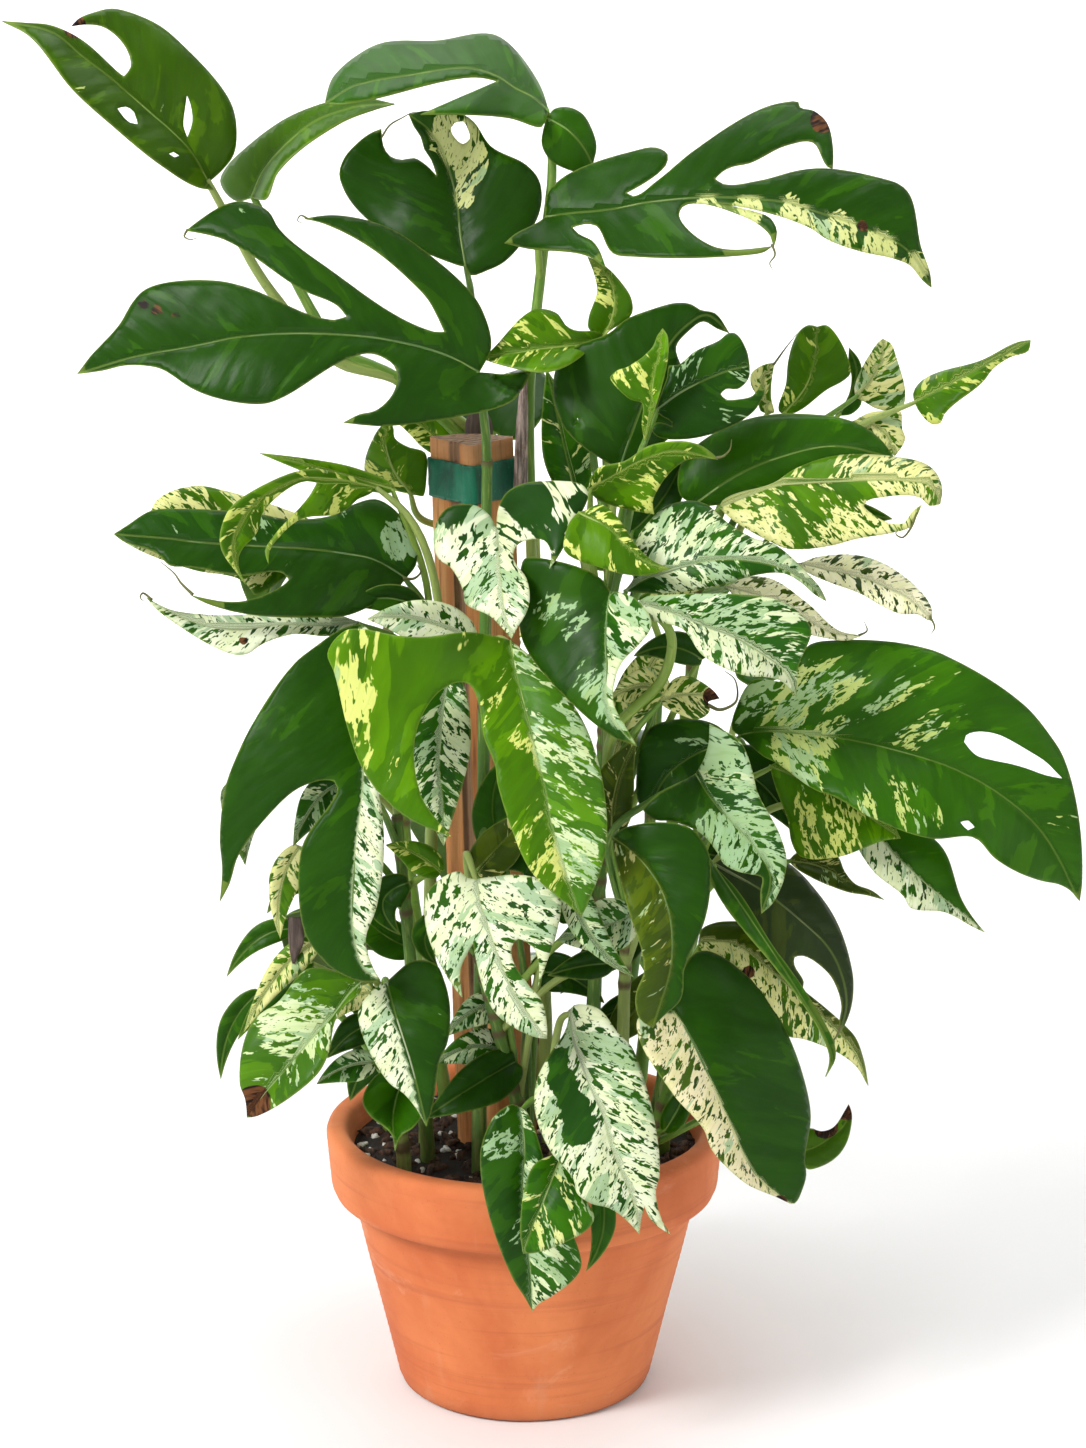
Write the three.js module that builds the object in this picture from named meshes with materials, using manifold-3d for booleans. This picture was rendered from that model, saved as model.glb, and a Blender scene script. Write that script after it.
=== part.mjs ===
// Potted marble flame pothos: a terracotta pot of soil, a cedar stake, and leafy stems in and round it.
// Millimetres, +Z up, the plant's face towards -Y. The origin is on the pot's axis, under its base.
import * as THREE from "three";
import { mergeVertices } from "three/addons/utils/BufferGeometryUtils.js";
import Module from "manifold-3d";

const wasm = await Module();
wasm.setup();

const clearance = 0.4; // between two pieces that touch
const rounds = 28; // facets round the pot and the soil

const potSize = {
  height: 168,
  rimRadius: 125,
  bandHeight: 44,
  bandFoot: 114,
  neckRadius: 108.5,
  baseRadius: 81,
  footRound: 6,
  floor: 12,
  innerRim: 112,
  innerBase: 72,
  drainRadius: 6,
  drainRing: 36,
};
const soilTop = 153;
const soilCrown = 4; // how much higher the soil lies at its middle
const stakeSize = { half: 27, chamfer: 2, wane: 7, foot: 42, top: 598, grooveDepth: 2 };
const stakeFoot = [-13.2, -4]; // x and y of the stake's centre at its foot
const stakeLean = 0.0337; // how far the stake leans to -X for each millimetre up
const tape = { low: 563, high: 586, thick: 0.8 };
const stemRadius = { root: 4.6, top: 3.1, sides: 5, steps: 4, buried: 30 };
const petioleRadius = { stem: 1.9, blade: 0.6, sunk: 3 };
const nodeSpacing = 12; // between two leaves' places on a stem
const petioleRise = 0.55; // how steeply petioles rise from the stem, unless they are placed
const bladeThickness = 0.9;

// The plant's face was laid out on an upright board through the pot's axis, as an eye in front of it sees it.
// A point there is [x, height, depth], and depth carries it along the line of sight: less is nearer the eye.
const eye = { distance: 1620, height: 747 };

const colours = {
  terracotta: 0xc97a50,
  soil: 0x2a211b,
  cedar: 0xa8673a,
  tape: 0x2c6a45,
  leaf: 0x4f7d33,
};

const vector = (x, y, z) => new THREE.Vector3(x, y, z);
const up = vector(0, 0, 1);

function onBoard([x, height, depth]) {
  const reach = 1 + depth / eye.distance;
  return vector(x * reach, depth, eye.height + (height - eye.height) * reach);
}

// A closed geometry as a solid that can be joined and cut.
function solidOf(geometry) {
  const bare = geometry.clone();
  bare.deleteAttribute("normal");
  bare.deleteAttribute("uv");
  const merged = mergeVertices(bare, 1e-4);
  const faces = [];
  const index = merged.index.array;
  for (let i = 0; i < index.length; i += 3) {
    const [a, b, c] = index.subarray(i, i + 3);
    if (a !== b && b !== c && a !== c) faces.push(a, b, c);
  }
  return meshSolid(merged.attributes.position.array, faces);
}

function meshSolid(vertProperties, faces) {
  const points = new Float32Array(vertProperties);
  const make = (triVerts) => new wasm.Manifold(new wasm.Mesh({ numProp: 3, vertProperties: points, triVerts }));
  const solid = make(new Uint32Array(faces));
  if (solid.volume() > 0) return solid;
  const turned = [];
  for (let i = 0; i < faces.length; i += 3) turned.push(faces[i], faces[i + 2], faces[i + 1]);
  return make(new Uint32Array(turned));
}

// The largest body of a joined solid, without the specks of air that its pieces shut in where they cross.
function outerBody(solid) {
  return solid.decompose().reduce((largest, body) => (body.volume() > largest.volume() ? body : largest));
}

function geometryOf(solid) {
  const mesh = solid.getMesh();
  const geometry = new THREE.BufferGeometry();
  const places = new Float32Array(mesh.numVert * 3);
  for (let i = 0; i < mesh.numVert; i++) {
    places.set(mesh.vertProperties.subarray(i * mesh.numProp, i * mesh.numProp + 3), i * 3);
  }
  geometry.setAttribute("position", new THREE.BufferAttribute(places, 3));
  geometry.setIndex(new THREE.BufferAttribute(new Uint32Array(mesh.triVerts), 1));
  geometry.computeVertexNormals();
  return geometry;
}

function named(name, geometry, color, roughness) {
  const mesh = new THREE.Mesh(geometry, new THREE.MeshStandardMaterial({ color, roughness, metalness: 0 }));
  mesh.name = name;
  return mesh;
}

// Pot and soil

function turned(profile) {
  const lathe = new THREE.LatheGeometry(profile.map(([r, z]) => new THREE.Vector2(r, z)), rounds);
  return solidOf(lathe.rotateX(Math.PI / 2));
}

const innerRadius = (z) =>
  THREE.MathUtils.mapLinear(z, potSize.floor, potSize.height, potSize.innerBase, potSize.innerRim);

function makePot() {
  const p = potSize;
  const band = p.height - p.bandHeight;
  const pot = turned([
    [0, 0],
    [p.baseRadius - p.footRound, 0],
    [p.baseRadius - p.footRound * 0.3, p.footRound * 0.3],
    [p.baseRadius, p.footRound],
    [p.neckRadius, band - 2],
    [p.bandFoot, band],
    [p.rimRadius - 5, band + 3],
    [p.rimRadius - 3, band + 7],
    [p.rimRadius, p.height - 4],
    [p.rimRadius - 1.2, p.height - 1.2],
    [p.rimRadius - 4, p.height],
    [p.innerRim + 2.5, p.height],
    [p.innerRim, p.height - 2.5],
    [innerRadius(soilTop), soilTop],
    [innerRadius(p.floor), p.floor],
    [0, p.floor],
  ]);
  const holes = [90, 210, 330].map((degrees) => {
    const angle = THREE.MathUtils.degToRad(degrees);
    const hole = new THREE.CylinderGeometry(p.drainRadius, p.drainRadius, p.floor * 3, 12);
    hole.rotateX(Math.PI / 2);
    hole.translate(p.drainRing * Math.cos(angle), p.drainRing * Math.sin(angle), 0);
    return solidOf(hole);
  });
  return holes.reduce((solid, hole) => solid.subtract(hole), pot);
}

function makeSoil(cutters) {
  const p = potSize;
  const low = p.floor + clearance;
  const soil = turned([
    [0, low],
    [innerRadius(low) - clearance, low],
    [innerRadius(soilTop) - clearance, soilTop - 1],
    [innerRadius(soilTop) - 9, soilTop + 1],
    [60, soilTop + soilCrown - 1],
    [0, soilTop + soilCrown],
  ]);
  return cutters.reduce((solid, cutter) => solid.subtract(cutter), soil);
}

// Stake and tape

// Outline of the stake, which stands with one corner to the front; grow makes it larger all round.
function stakeOutline(grow, groove) {
  const s = stakeSize;
  const h = s.half + grow * Math.SQRT2;
  const c = s.chamfer;
  const points = [
    [c, -h + c],
    [h - c, -c],
    [h - c, c],
    [s.wane, h - s.wane],
    [-s.wane, h - s.wane],
    [-h + c, c],
    [-h + c, -c],
  ];
  if (groove) {
    const [left, right] = [-13, -8.5];
    const inward = s.grooveDepth * Math.SQRT1_2;
    points.push([left, -h - left], [left + inward, -h - left + inward]);
    points.push([right + inward, -h - right + inward], [right, -h - right]);
  }
  points.push([-c, -h + c]);
  return points.map(([x, y]) => new THREE.Vector2(x, y));
}

function leaning(shape, low, high) {
  const bar = new THREE.ExtrudeGeometry(shape, { depth: high - low, bevelEnabled: false });
  const rise = low - stakeSize.foot;
  bar.applyMatrix4(new THREE.Matrix4().set(
    1, 0, -stakeLean, stakeFoot[0] - stakeLean * rise,
    0, 1, 0, stakeFoot[1],
    0, 0, 1, low,
    0, 0, 0, 1,
  ));
  return solidOf(bar);
}

function makeTape() {
  const shape = new THREE.Shape(stakeOutline(clearance + tape.thick, false));
  shape.holes.push(new THREE.Path(stakeOutline(clearance, false)));
  return leaning(shape, tape.low, tape.high);
}

// Blades

// Half outlines of the simple blades in nine points, base to tip: how far along the midrib and how far across.
const outlines = {
  heart: [
    [0, 0], [-0.09, 0.3], [-0.06, 0.66], [0.08, 0.93], [0.28, 1], [0.52, 0.82], [0.75, 0.48], [0.92, 0.16],
    [1, 0],
  ],
  oval: [
    [0, 0], [-0.01, 0.35], [0.06, 0.68], [0.2, 0.92], [0.38, 1], [0.58, 0.84], [0.78, 0.5], [0.93, 0.17],
    [1, 0],
  ],
  lance: [
    [0, 0], [0.02, 0.4], [0.1, 0.72], [0.24, 0.95], [0.42, 1], [0.6, 0.8], [0.78, 0.48], [0.92, 0.18],
    [1, 0],
  ],
};
const veinRoots = [0, 0.015, 0.04, 0.09, 0.17, 0.32, 0.52, 0.76, 1]; // where nine side veins leave the midrib
const columns = veinRoots.length - 1;
const widest = 0.35; // where along the midrib the two sides are measured
const veinSweep = 1.3; // side veins leave the midrib squarely and then sweep forward
const archShare = 0.1; // how far each half arches, as a share of its width
const waveShare = 0.05; // how far its edge waves
const waveCount = 2.2; // how often, from base to tip
const lobeReach = { across: 0.12, along: 0.05 }; // how far a lobe's forward corner is drawn out and forward
const golden = 0.618034;
const slitStart = 0.35; // every slit runs in from the edge to here, as a share of the vein
const splitRows = [0, slitStart, 1];
const plainRows = [0, 1];
const ribSamples = 60; // points along a drawn midrib that depths are read from
const sideTilt = 0.25; // how far a half given by its width alone tilts towards the eye

// A blade drawn on the board as a thin solid. Each half lies between the midrib and its edge.
function drawnSolid(leaf) {
  const points = [];
  const faces = [];
  const add = (point, side) => points.push(leaf.lift(point, side)) - 1;
  const rib = leaf.rib.map((point) => add(point, null));
  leaf.edges.forEach((edge, side) => {
    const hole = leaf.holes?.[side]?.map(flat) ?? [];
    const outline = [...leaf.rib, ...edge.toReversed()];
    const index = [...rib, ...[...edge.toReversed(), ...hole].map((point) => add(point, side))];
    const all = [...outline, ...hole];
    for (const [a, b, c] of THREE.ShapeUtils.triangulateShape(outline, hole.length ? [hole] : [])) {
      const area = all[b].clone().sub(all[a]).cross(all[c].clone().sub(all[a]));
      faces.push(area > 0 ? [index[a], index[b], index[c]] : [index[a], index[c], index[b]]);
    }
  });
  return thickened(points, faces, bladeThickness);
}

const flat = ([x, height]) => new THREE.Vector2(x, height);

// How a drawn blade's points are lifted off the board: the midrib bends through its depths at the base, the
// middle and the tip, and each half leans from it to the depth of its own side.
function lifter(rib, edges, [base, mid, tip, ...sideDepths]) {
  const samples = new THREE.SplineCurve(rib).getSpacedPoints(ribSamples);
  const pull = 2 * mid - (base + tip) / 2;
  const ribDepth = (t) => base * (1 - t) ** 2 + 2 * t * (1 - t) * pull + tip * t * t;
  const fromRib = (point) => Math.min(...samples.map((sample) => sample.distanceTo(point)));
  const widths = edges.map((edge) => Math.max(...edge.map(fromRib)));
  return (point, side) => {
    let total = 0;
    let share = 0;
    samples.forEach((sample, i) => {
      const weight = (sample.distanceToSquared(point) + 0.01) ** -2;
      total += weight;
      share += (weight * i) / ribSamples;
    });
    const depth = ribDepth(share / total);
    if (side === null) return onBoard([point.x, point.y, depth]);
    const out = Math.min(fromRib(point) / widths[side], 1.1);
    return onBoard([point.x, point.y, depth + out * (sideDepths[side] - ribDepth(widest))]);
  };
}

// A smooth curve through values that stand at 0, 1, 2 and so on.
function through(values, s) {
  const i = Math.min(Math.floor(s), values.length - 2);
  const f = s - i;
  const last = values.length - 1;
  const [p0, p1, p2, p3] = [-1, 0, 1, 2].map((k) => values[THREE.MathUtils.clamp(i + k, 0, last)]);
  return p1 + 0.5 * f * (p2 - p0 + f * (2 * p0 - 5 * p1 + 4 * p2 - p3 + f * (3 * (p1 - p2) + p3 - p0)));
}

// The midrib of a simple blade, through its base, middle and tip, and the two vectors across it.
function bladeFrame(leaf) {
  const { base, mid, tip } = leaf;
  const pull = mid.clone().multiplyScalar(2).sub(base.clone().add(tip).multiplyScalar(0.5));
  const at = (a) => {
    const point = base.clone().multiplyScalar((1 - a) ** 2);
    return point.addScaledVector(pull, 2 * a * (1 - a)).addScaledVector(tip, a * a);
  };
  const towards = (a) =>
    pull.clone().sub(base).multiplyScalar(1 - a).addScaledVector(tip.clone().sub(pull), a).normalize();
  const facing = leaf.facing ? leaf.facing.clone() : vector(0, -eye.distance, eye.height).sub(mid);
  const heading = towards(widest);
  facing.addScaledVector(heading, -facing.dot(heading)).normalize();
  const across = leaf.widths.map((width, i) => {
    const out = facing.clone().cross(heading).multiplyScalar(i ? -1 : 1);
    return out.addScaledVector(facing, sideTilt).normalize().multiplyScalar(width);
  });
  const outward = across.map((reach) => {
    const normal = heading.clone().cross(reach).normalize();
    return normal.dot(facing) < 0 ? normal.negate() : normal;
  });
  return { at, towards, heading, across, outward, length: base.distanceTo(mid) + mid.distanceTo(tip) };
}

// A point of a simple blade before its lobes are drawn out: side 0 or 1, vein s from 0 to 8, and v from the
// midrib to the edge.
function plainPoint(leaf, frame, side, s, v) {
  const outline = outlines[leaf.shape];
  const root = through(veinRoots, s);
  const edge = through(outline.map((p) => p[0]), s);
  const share = through(outline.map((p) => p[1]), s) * v;
  const a = root + (edge - root) * v ** veinSweep;
  const heading = frame.towards(THREE.MathUtils.clamp(a, 0, 1));
  const turn = new THREE.Quaternion().setFromUnitVectors(frame.heading, heading);
  const width = frame.across[side].length();
  const phase = leaf.number * golden + side * 0.37;
  const swing = Math.sin(2 * Math.PI * ((s * waveCount) / columns + phase));
  const wave = waveShare * swing * v * v * Math.min(1, 4 * share);
  const arch = archShare * 4 * share * (1 - share);
  const point = frame.across[side].clone().multiplyScalar(share);
  point.addScaledVector(frame.outward[side], (arch + wave) * width).applyQuaternion(turn);
  return point.add(frame.at(a));
}

const halfGap = (slit, v) => slit.gap * Math.sqrt(Math.max(0, (v - slitStart) / (1 - slitStart)));

// A point of a simple blade with each lobe's forward corner drawn a little out and forward.
function bladePoint(leaf, frame, side, s, v) {
  const point = plainPoint(leaf, frame, side, s, v);
  let start = 0;
  for (const slit of leaf.slits[side]) {
    if (s <= slit.at) {
      const end = slit.at - slit.gap;
      const along = THREE.MathUtils.clamp((s - start) / (end - start), 0, 1);
      const weight = THREE.MathUtils.smoothstep(v, slitStart, 1) * (0.25 + 0.75 * along ** 1.5);
      point.addScaledVector(frame.across[side], lobeReach.across * weight);
      return point.addScaledVector(frame.heading, lobeReach.along * frame.length * weight);
    }
    start = slit.at;
  }
  return point;
}

// A simple blade as a thin solid: a sheet of vein columns and rows, split at its slits, both faces alike.
function simpleSolid(leaf) {
  const frame = bladeFrame(leaf);
  const { rows, step } = leaf;
  const points = [];
  const known = new Map();
  const place = (side, column, row, copy) => {
    const v = rows[row];
    const slit = leaf.slits[side].find((one) => one.at === column);
    const gap = slit ? halfGap(slit, v) : 0;
    const end = column === 0 || column === columns;
    const inner = row === 0 ? `rib${column}` : `${side}/${column}/${row}/${gap ? copy : 0}`;
    const key = end ? `end${column}` : inner;
    if (!known.has(key)) {
      known.set(key, points.length);
      points.push(bladePoint(leaf, frame, side, column + gap * copy, end ? 0 : v));
    }
    return known.get(key);
  };
  const faces = [];
  for (const side of [0, 1]) {
    for (let column = 0; column < columns; column += step) {
      for (let row = 0; row + 1 < rows.length; row++) {
        const a = place(side, column, row, 1);
        const b = place(side, column + step, row, -1);
        const c = place(side, column + step, row + 1, -1);
        const d = place(side, column, row + 1, 1);
        for (const face of [[a, b, c], [a, c, d]]) {
          if (new Set(face).size === 3) faces.push(side ? face.reverse() : face);
        }
      }
    }
  }
  return thickened(points, faces, bladeThickness);
}

const bladeSolid = (leaf) => (leaf.rib ? drawnSolid(leaf) : simpleSolid(leaf));

function thickened(points, faces, thickness) {
  const normals = points.map(() => vector(0, 0, 0));
  const open = new Map();
  for (const [a, b, c] of faces) {
    const ab = points[b].clone().sub(points[a]);
    const normal = ab.cross(points[c].clone().sub(points[a]));
    for (const [i, j] of [[a, b], [b, c], [c, a]]) {
      normals[i].add(normal);
      if (!open.delete(`${j}/${i}`)) open.set(`${i}/${j}`, [i, j]);
    }
  }
  normals.forEach((normal) => normal.normalize());
  const count = points.length;
  const half = thickness / 2;
  const places = [half, -half].flatMap((offset) =>
    points.flatMap((point, i) => point.clone().addScaledVector(normals[i], offset).toArray()));
  const all = faces.flatMap(([a, b, c]) => [a, b, c, a + count, c + count, b + count]);
  for (const [i, j] of open.values()) all.push(j, i, i + count, j, i + count, j + count);
  return meshSolid(places, all);
}

// Stems and petioles

// A closed tube through points, as thick at each as radii says.
function taperedTube(points, radii, sides) {
  const places = [];
  const faces = [];
  let normal = null;
  points.forEach((point, i) => {
    const ahead = points[Math.min(i + 1, points.length - 1)];
    const heading = ahead.clone().sub(points[Math.max(i - 1, 0)]).normalize();
    if (!normal) normal = Math.abs(heading.z) > 0.9 ? vector(1, 0, 0) : vector(0, 0, 1);
    normal.addScaledVector(heading, -normal.dot(heading)).normalize();
    const across = heading.clone().cross(normal);
    for (let k = 0; k < sides; k++) {
      const angle = (2 * Math.PI * (k + 0.5)) / sides;
      const spoke = normal.clone().multiplyScalar(Math.cos(angle)).addScaledVector(across, Math.sin(angle));
      places.push(...point.clone().addScaledVector(spoke, radii[i]).toArray());
    }
  });
  for (let i = 0; i + 1 < points.length; i++) {
    for (let k = 0; k < sides; k++) {
      const [a, b] = [i * sides + k, i * sides + ((k + 1) % sides)];
      faces.push(a, b, b + sides, a, b + sides, a + sides);
    }
  }
  const last = (points.length - 1) * sides;
  for (let k = 1; k + 1 < sides; k++) faces.push(0, k + 1, k, last, last + k, last + k + 1);
  return meshSolid(places, faces);
}

function stemCurve(stem) {
  const [x, y] = stem.root;
  const foot = vector(x, y, soilTop + soilCrown + 6);
  const top = vector(...stem.top);
  const [bowX, bowY] = stem.bow ?? [0, 0];
  const middle = foot.clone().lerp(top, 0.5).add(vector(bowX, bowY, 0));
  return new THREE.CatmullRomCurve3([foot, middle, top], false, "centripetal");
}

function stemSolid(stem) {
  const run = stemCurve(stem).getPoints(stemRadius.steps);
  const foot = run[0].clone().setZ(soilTop - stemRadius.buried);
  const points = [foot, ...run];
  const radii = points.map((_, i) =>
    THREE.MathUtils.lerp(stemRadius.root, stemRadius.top, i / (points.length - 1)));
  radii[1] = radii[0];
  return taperedTube(points, radii, stemRadius.sides);
}

function stemHole(stem) {
  const [x, y] = stem.root;
  const points = [soilTop - stemRadius.buried - clearance, soilTop + 30].map((z) => vector(x, y, z));
  const radius = stemRadius.root + clearance / Math.cos(Math.PI / stemRadius.sides);
  return taperedTube(points, [radius, radius], stemRadius.sides);
}

// The point of a stem from which a petiole sets out for a blade.
function petioleFoot(stem, leaf) {
  const curve = stemCurve(stem);
  const away = Math.hypot(leaf.base.x - stem.top[0], leaf.base.y - stem.top[1]);
  const wanted = leaf.height ?? leaf.base.z - petioleRise * away;
  const highest = stem.top[2] - 3 - nodeSpacing * stem.leaves.indexOf(leaf);
  const height = THREE.MathUtils.clamp(wanted, curve.getPoint(0).z + 8, highest);
  let t = 0.5;
  for (let step = 0.25; step > 1e-4; step /= 2) t += curve.getPoint(t).z < height ? step : -step;
  return curve.getPoint(t);
}

function petiolePath(stem, leaf) {
  const foot = leaf.from ? onBoard(leaf.from) : petioleFoot(stem, leaf);
  const reach = foot.distanceTo(leaf.base);
  const path = [foot];
  if (leaf.via) path.push(...leaf.via.map(onBoard));
  else if (reach > 12) {
    const middle = foot.clone().lerp(leaf.base, 0.5).addScaledVector(up, 0.15 * reach);
    path.push(middle.addScaledVector(leaf.start, -0.05 * reach));
  }
  path.push(leaf.base.clone().addScaledVector(leaf.start, petioleRadius.sunk));
  return path;
}

function petioleSolid(stem, leaf) {
  const path = petiolePath(stem, leaf);
  const thick = leaf.thick ?? petioleRadius.stem;
  const radii = path.map((_, i) => THREE.MathUtils.lerp(thick, petioleRadius.blade, i / (path.length - 1)));
  return taperedTube(path, radii, leaf.thick ? 4 : 3);
}

// Leaves

let leafCount = 0;

// One leaf of the plant's face that is drawn on the board: the points of its midrib and of its two edges,
// base to tip, and the depths of the midrib's base, middle and tip and of both sides. The edges leave out
// the midrib's ends.
function drawn(ribPoints, edgeA, edgeB, depths, more = {}) {
  const rib = ribPoints.map(flat);
  const edges = [edgeA.map(flat), edgeB.map(flat)];
  const lift = lifter(rib, edges, depths);
  const base = lift(rib[0], null);
  const start = lift(rib[1], null).sub(base).normalize();
  return { ...more, rib, edges, lift, base, start, number: leafCount++ };
}

function simple(made, slits) {
  const pull = made.mid.clone().multiplyScalar(2).sub(made.base.clone().add(made.tip).multiplyScalar(0.5));
  made.start = pull.sub(made.base).normalize();
  made.slits = slits.map((side) => side.map(([at, gap]) => ({ at, gap })));
  made.number = leafCount++;
  return made;
}

// One small leaf of the face: its base, middle and tip on the board, and its two half widths.
function leaf(base, mid, tip, widthA, widthB, shape) {
  const made = { base: onBoard(base), mid: onBoard(mid), tip: onBoard(tip), widths: [widthA, widthB], shape };
  return simple({ ...made, rows: plainRows, step: 2 }, [[], []]);
}

// One leaf of the sides and back, by its bearing from the axis, its place and how it droops, in degrees. A
// slit is [vein, half its gap in veins].
function rearLeaf(bearing, reach, height, length, halfWidth, rise, droop, shape, { a = [], b = [] } = {}) {
  const angle = THREE.MathUtils.degToRad(bearing);
  const out = vector(Math.cos(angle), Math.sin(angle), 0);
  const step = (degrees) => {
    const slope = THREE.MathUtils.degToRad(degrees);
    const way = out.clone().multiplyScalar(Math.cos(slope)).setZ(Math.sin(slope));
    return way.multiplyScalar(length / 2);
  };
  const base = out.clone().multiplyScalar(reach).setZ(height);
  const mid = base.clone().add(step(rise));
  const made = { base, mid, tip: mid.clone().add(step(droop)), widths: [halfWidth, halfWidth], shape };
  const rows = a.length || b.length ? splitRows : plainRows;
  return simple({ ...made, facing: out.clone().add(up), rows, step: 1 }, [a, b]);
}

const stems = [
  {
    name: "leafy_stem_behind_stake", root: [-20, 48], top: [-28, 38, 600],
    leaves: [
      drawn(
        [[-186, 747], [-199, 768], [-219, 787], [-233, 799], [-259, 820], [-274, 832], [-304, 839]],
        [[-178, 754], [-171, 763], [-169, 778], [-171, 790], [-177, 801], [-200, 826], [-212, 836],
          [-227, 843], [-240, 846], [-250, 844], [-260, 840], [-264, 836], [-256, 837], [-246, 836],
          [-237, 830], [-231, 821], [-230, 813], [-234, 808], [-256, 827], [-266, 833], [-277, 837],
          [-289, 838]],
        [[-183, 743], [-192, 744], [-214, 757], [-241, 779], [-264, 800], [-289, 831]],
        [-30, -55, -70, -20, -75],
        { via: [[-76, 632, 18], [-112, 643, 12], [-150, 683, -8]] },
      ),
      drawn(
        [[-161, 738], [-154, 753], [-143, 766], [-124, 781], [-100, 790], [-76, 792]],
        [[-169, 736], [-176, 741], [-179, 748], [-175, 756], [-167, 764], [-141, 783], [-119, 792],
          [-105, 795], [-91, 795]],
        [[-153, 737], [-145, 753], [-108, 781], [-87, 789]],
        [0, 10, 15, 40, -20],
        { via: [[-76, 632, 18], [-112, 650, 14], [-127, 673, 6]] },
      ),
      drawn(
        [[-35, 698], [-38, 716], [-40, 736], [-44, 753], [-49, 768], [-57, 778], [-68, 786]],
        [[-40, 699], [-88, 722], [-100, 733], [-106, 742], [-109, 752], [-106, 761], [-100, 768],
          [-91, 775], [-84, 778], [-83, 768], [-79, 762], [-72, 760], [-65, 761], [-58, 757],
          [-52, 751], [-55, 760], [-59, 766], [-61, 773], [-65, 779]],
        [[-32, 693], [-22, 696], [-12, 701], [2, 717], [8, 728], [10, 739], [8, 749], [1, 757],
          [-20, 768], [-30, 782], [-36, 786], [-60, 788]],
        [-25, -10, 5, -15, -15],
        { via: [[-30, 640, 20], [-32, 683, -5]] },
      ),
      drawn(
        [[-68, 563], [-78, 576], [-83, 590], [-84, 606]],
        [[-80, 566], [-92, 571], [-96, 577], [-89, 600]],
        [[-61, 562], [-59, 574], [-60, 588], [-71, 592], [-78, 597], [-79, 604]],
        [-10, -15, -10, 0, -6],
        { height: 535, via: [[-62, 548, 14]] },
      ),
    ],
  },
  {
    name: "leafy_stem_front_of_stake", root: [-28, -58], top: [-22, -38, 592],
    leaves: [
      drawn(
        [[-27, 636], [-44, 645], [-62, 651], [-86, 656], [-106, 658], [-137, 659], [-168, 657],
          [-200, 651], [-233, 645], [-267, 635]],
        [[-20, 651], [-25, 672], [-32, 683], [-63, 710], [-77, 719], [-93, 725], [-114, 728],
          [-130, 726], [-118, 723], [-91, 709], [-66, 688], [-57, 678], [-48, 660], [-54, 660],
          [-119, 699], [-145, 720], [-151, 730], [-158, 734], [-167, 736], [-177, 734], [-200, 719],
          [-178, 714], [-131, 684], [-111, 675], [-106, 669], [-113, 667], [-168, 687], [-184, 690],
          [-216, 688], [-226, 684], [-232, 678], [-241, 664], [-259, 645]],
        [[-12, 635], [4, 637], [-6, 620], [-16, 615], [-38, 610], [-85, 604], [-109, 606], [-99, 611],
          [-90, 613], [-83, 618], [-78, 625], [-76, 634], [-78, 640], [-83, 644], [-91, 647],
          [-103, 645], [-152, 618], [-161, 617], [-185, 621], [-198, 626], [-217, 638], [-227, 640],
          [-239, 640], [-252, 637]],
        [-75, -90, -70, -55, -108],
        { via: [[-24, 605, -55]], thick: 2.8 },
      ),
      drawn(
        [[-17, 542], [-16, 533], [-15, 520], [-14, 508], [-12, 493], [-8, 475]],
        [[-21, 550], [-29, 556], [-38, 557], [-46, 555], [-51, 550], [-54, 543], [-55, 536], [-54, 528],
          [-51, 523], [-45, 519], [-37, 504], [-36, 497], [-21, 489], [-14, 482]],
        [[-16, 554], [-12, 563], [-7, 567], [1, 570], [23, 571], [34, 569], [38, 564], [33, 550],
          [28, 544], [23, 530], [15, 518], [16, 525], [15, 531], [12, 535], [7, 536], [0, 535],
          [-5, 532], [-7, 527], [-6, 522], [1, 512], [3, 499], [1, 491], [-5, 481]],
        [-86, -124, -140, -92, -120],
      ),
      drawn(
        [[-9, 474], [-6, 458], [-2, 441], [3, 422], [8, 401], [13, 380], [16, 362], [21, 345],
          [26, 327], [35, 300]],
        [[-20, 477], [-33, 479], [-63, 476], [-78, 477], [-100, 481], [-109, 480], [-120, 466],
          [-116, 454], [-108, 418], [-99, 393], [-87, 376], [-70, 362], [-45, 351], [-62, 373],
          [-66, 385], [-68, 401], [-67, 414], [-63, 427], [-57, 437], [-50, 444], [-41, 448],
          [-34, 447], [-29, 438], [-25, 414], [-18, 395], [-17, 386], [-7, 353], [2, 332], [8, 324],
          [31, 304]],
        [[-1, 468], [8, 460], [22, 444], [35, 425], [43, 405], [49, 378], [50, 344], [38, 306]],
        [-104, -152, -165, -150, -138],
      ),
      drawn(
        [[-45, 456], [-50, 430], [-52, 400], [-50, 370], [-50, 345]],
        [[-54, 450], [-64, 436], [-70, 415], [-71, 400], [-69, 386], [-55, 355]],
        [[-38, 448], [-34, 432], [-33, 415], [-34, 402], [-46, 358]],
        [-82, -100, -114, -96, -106],
      ),
      leaf([-33, 474, -84], [-64, 486, -94], [-96, 487, -100], 15, 14, "oval"),
    ],
  },
  {
    name: "leafy_stem_beside_stake", root: [15, -8], top: [3, -8, 560],
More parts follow.
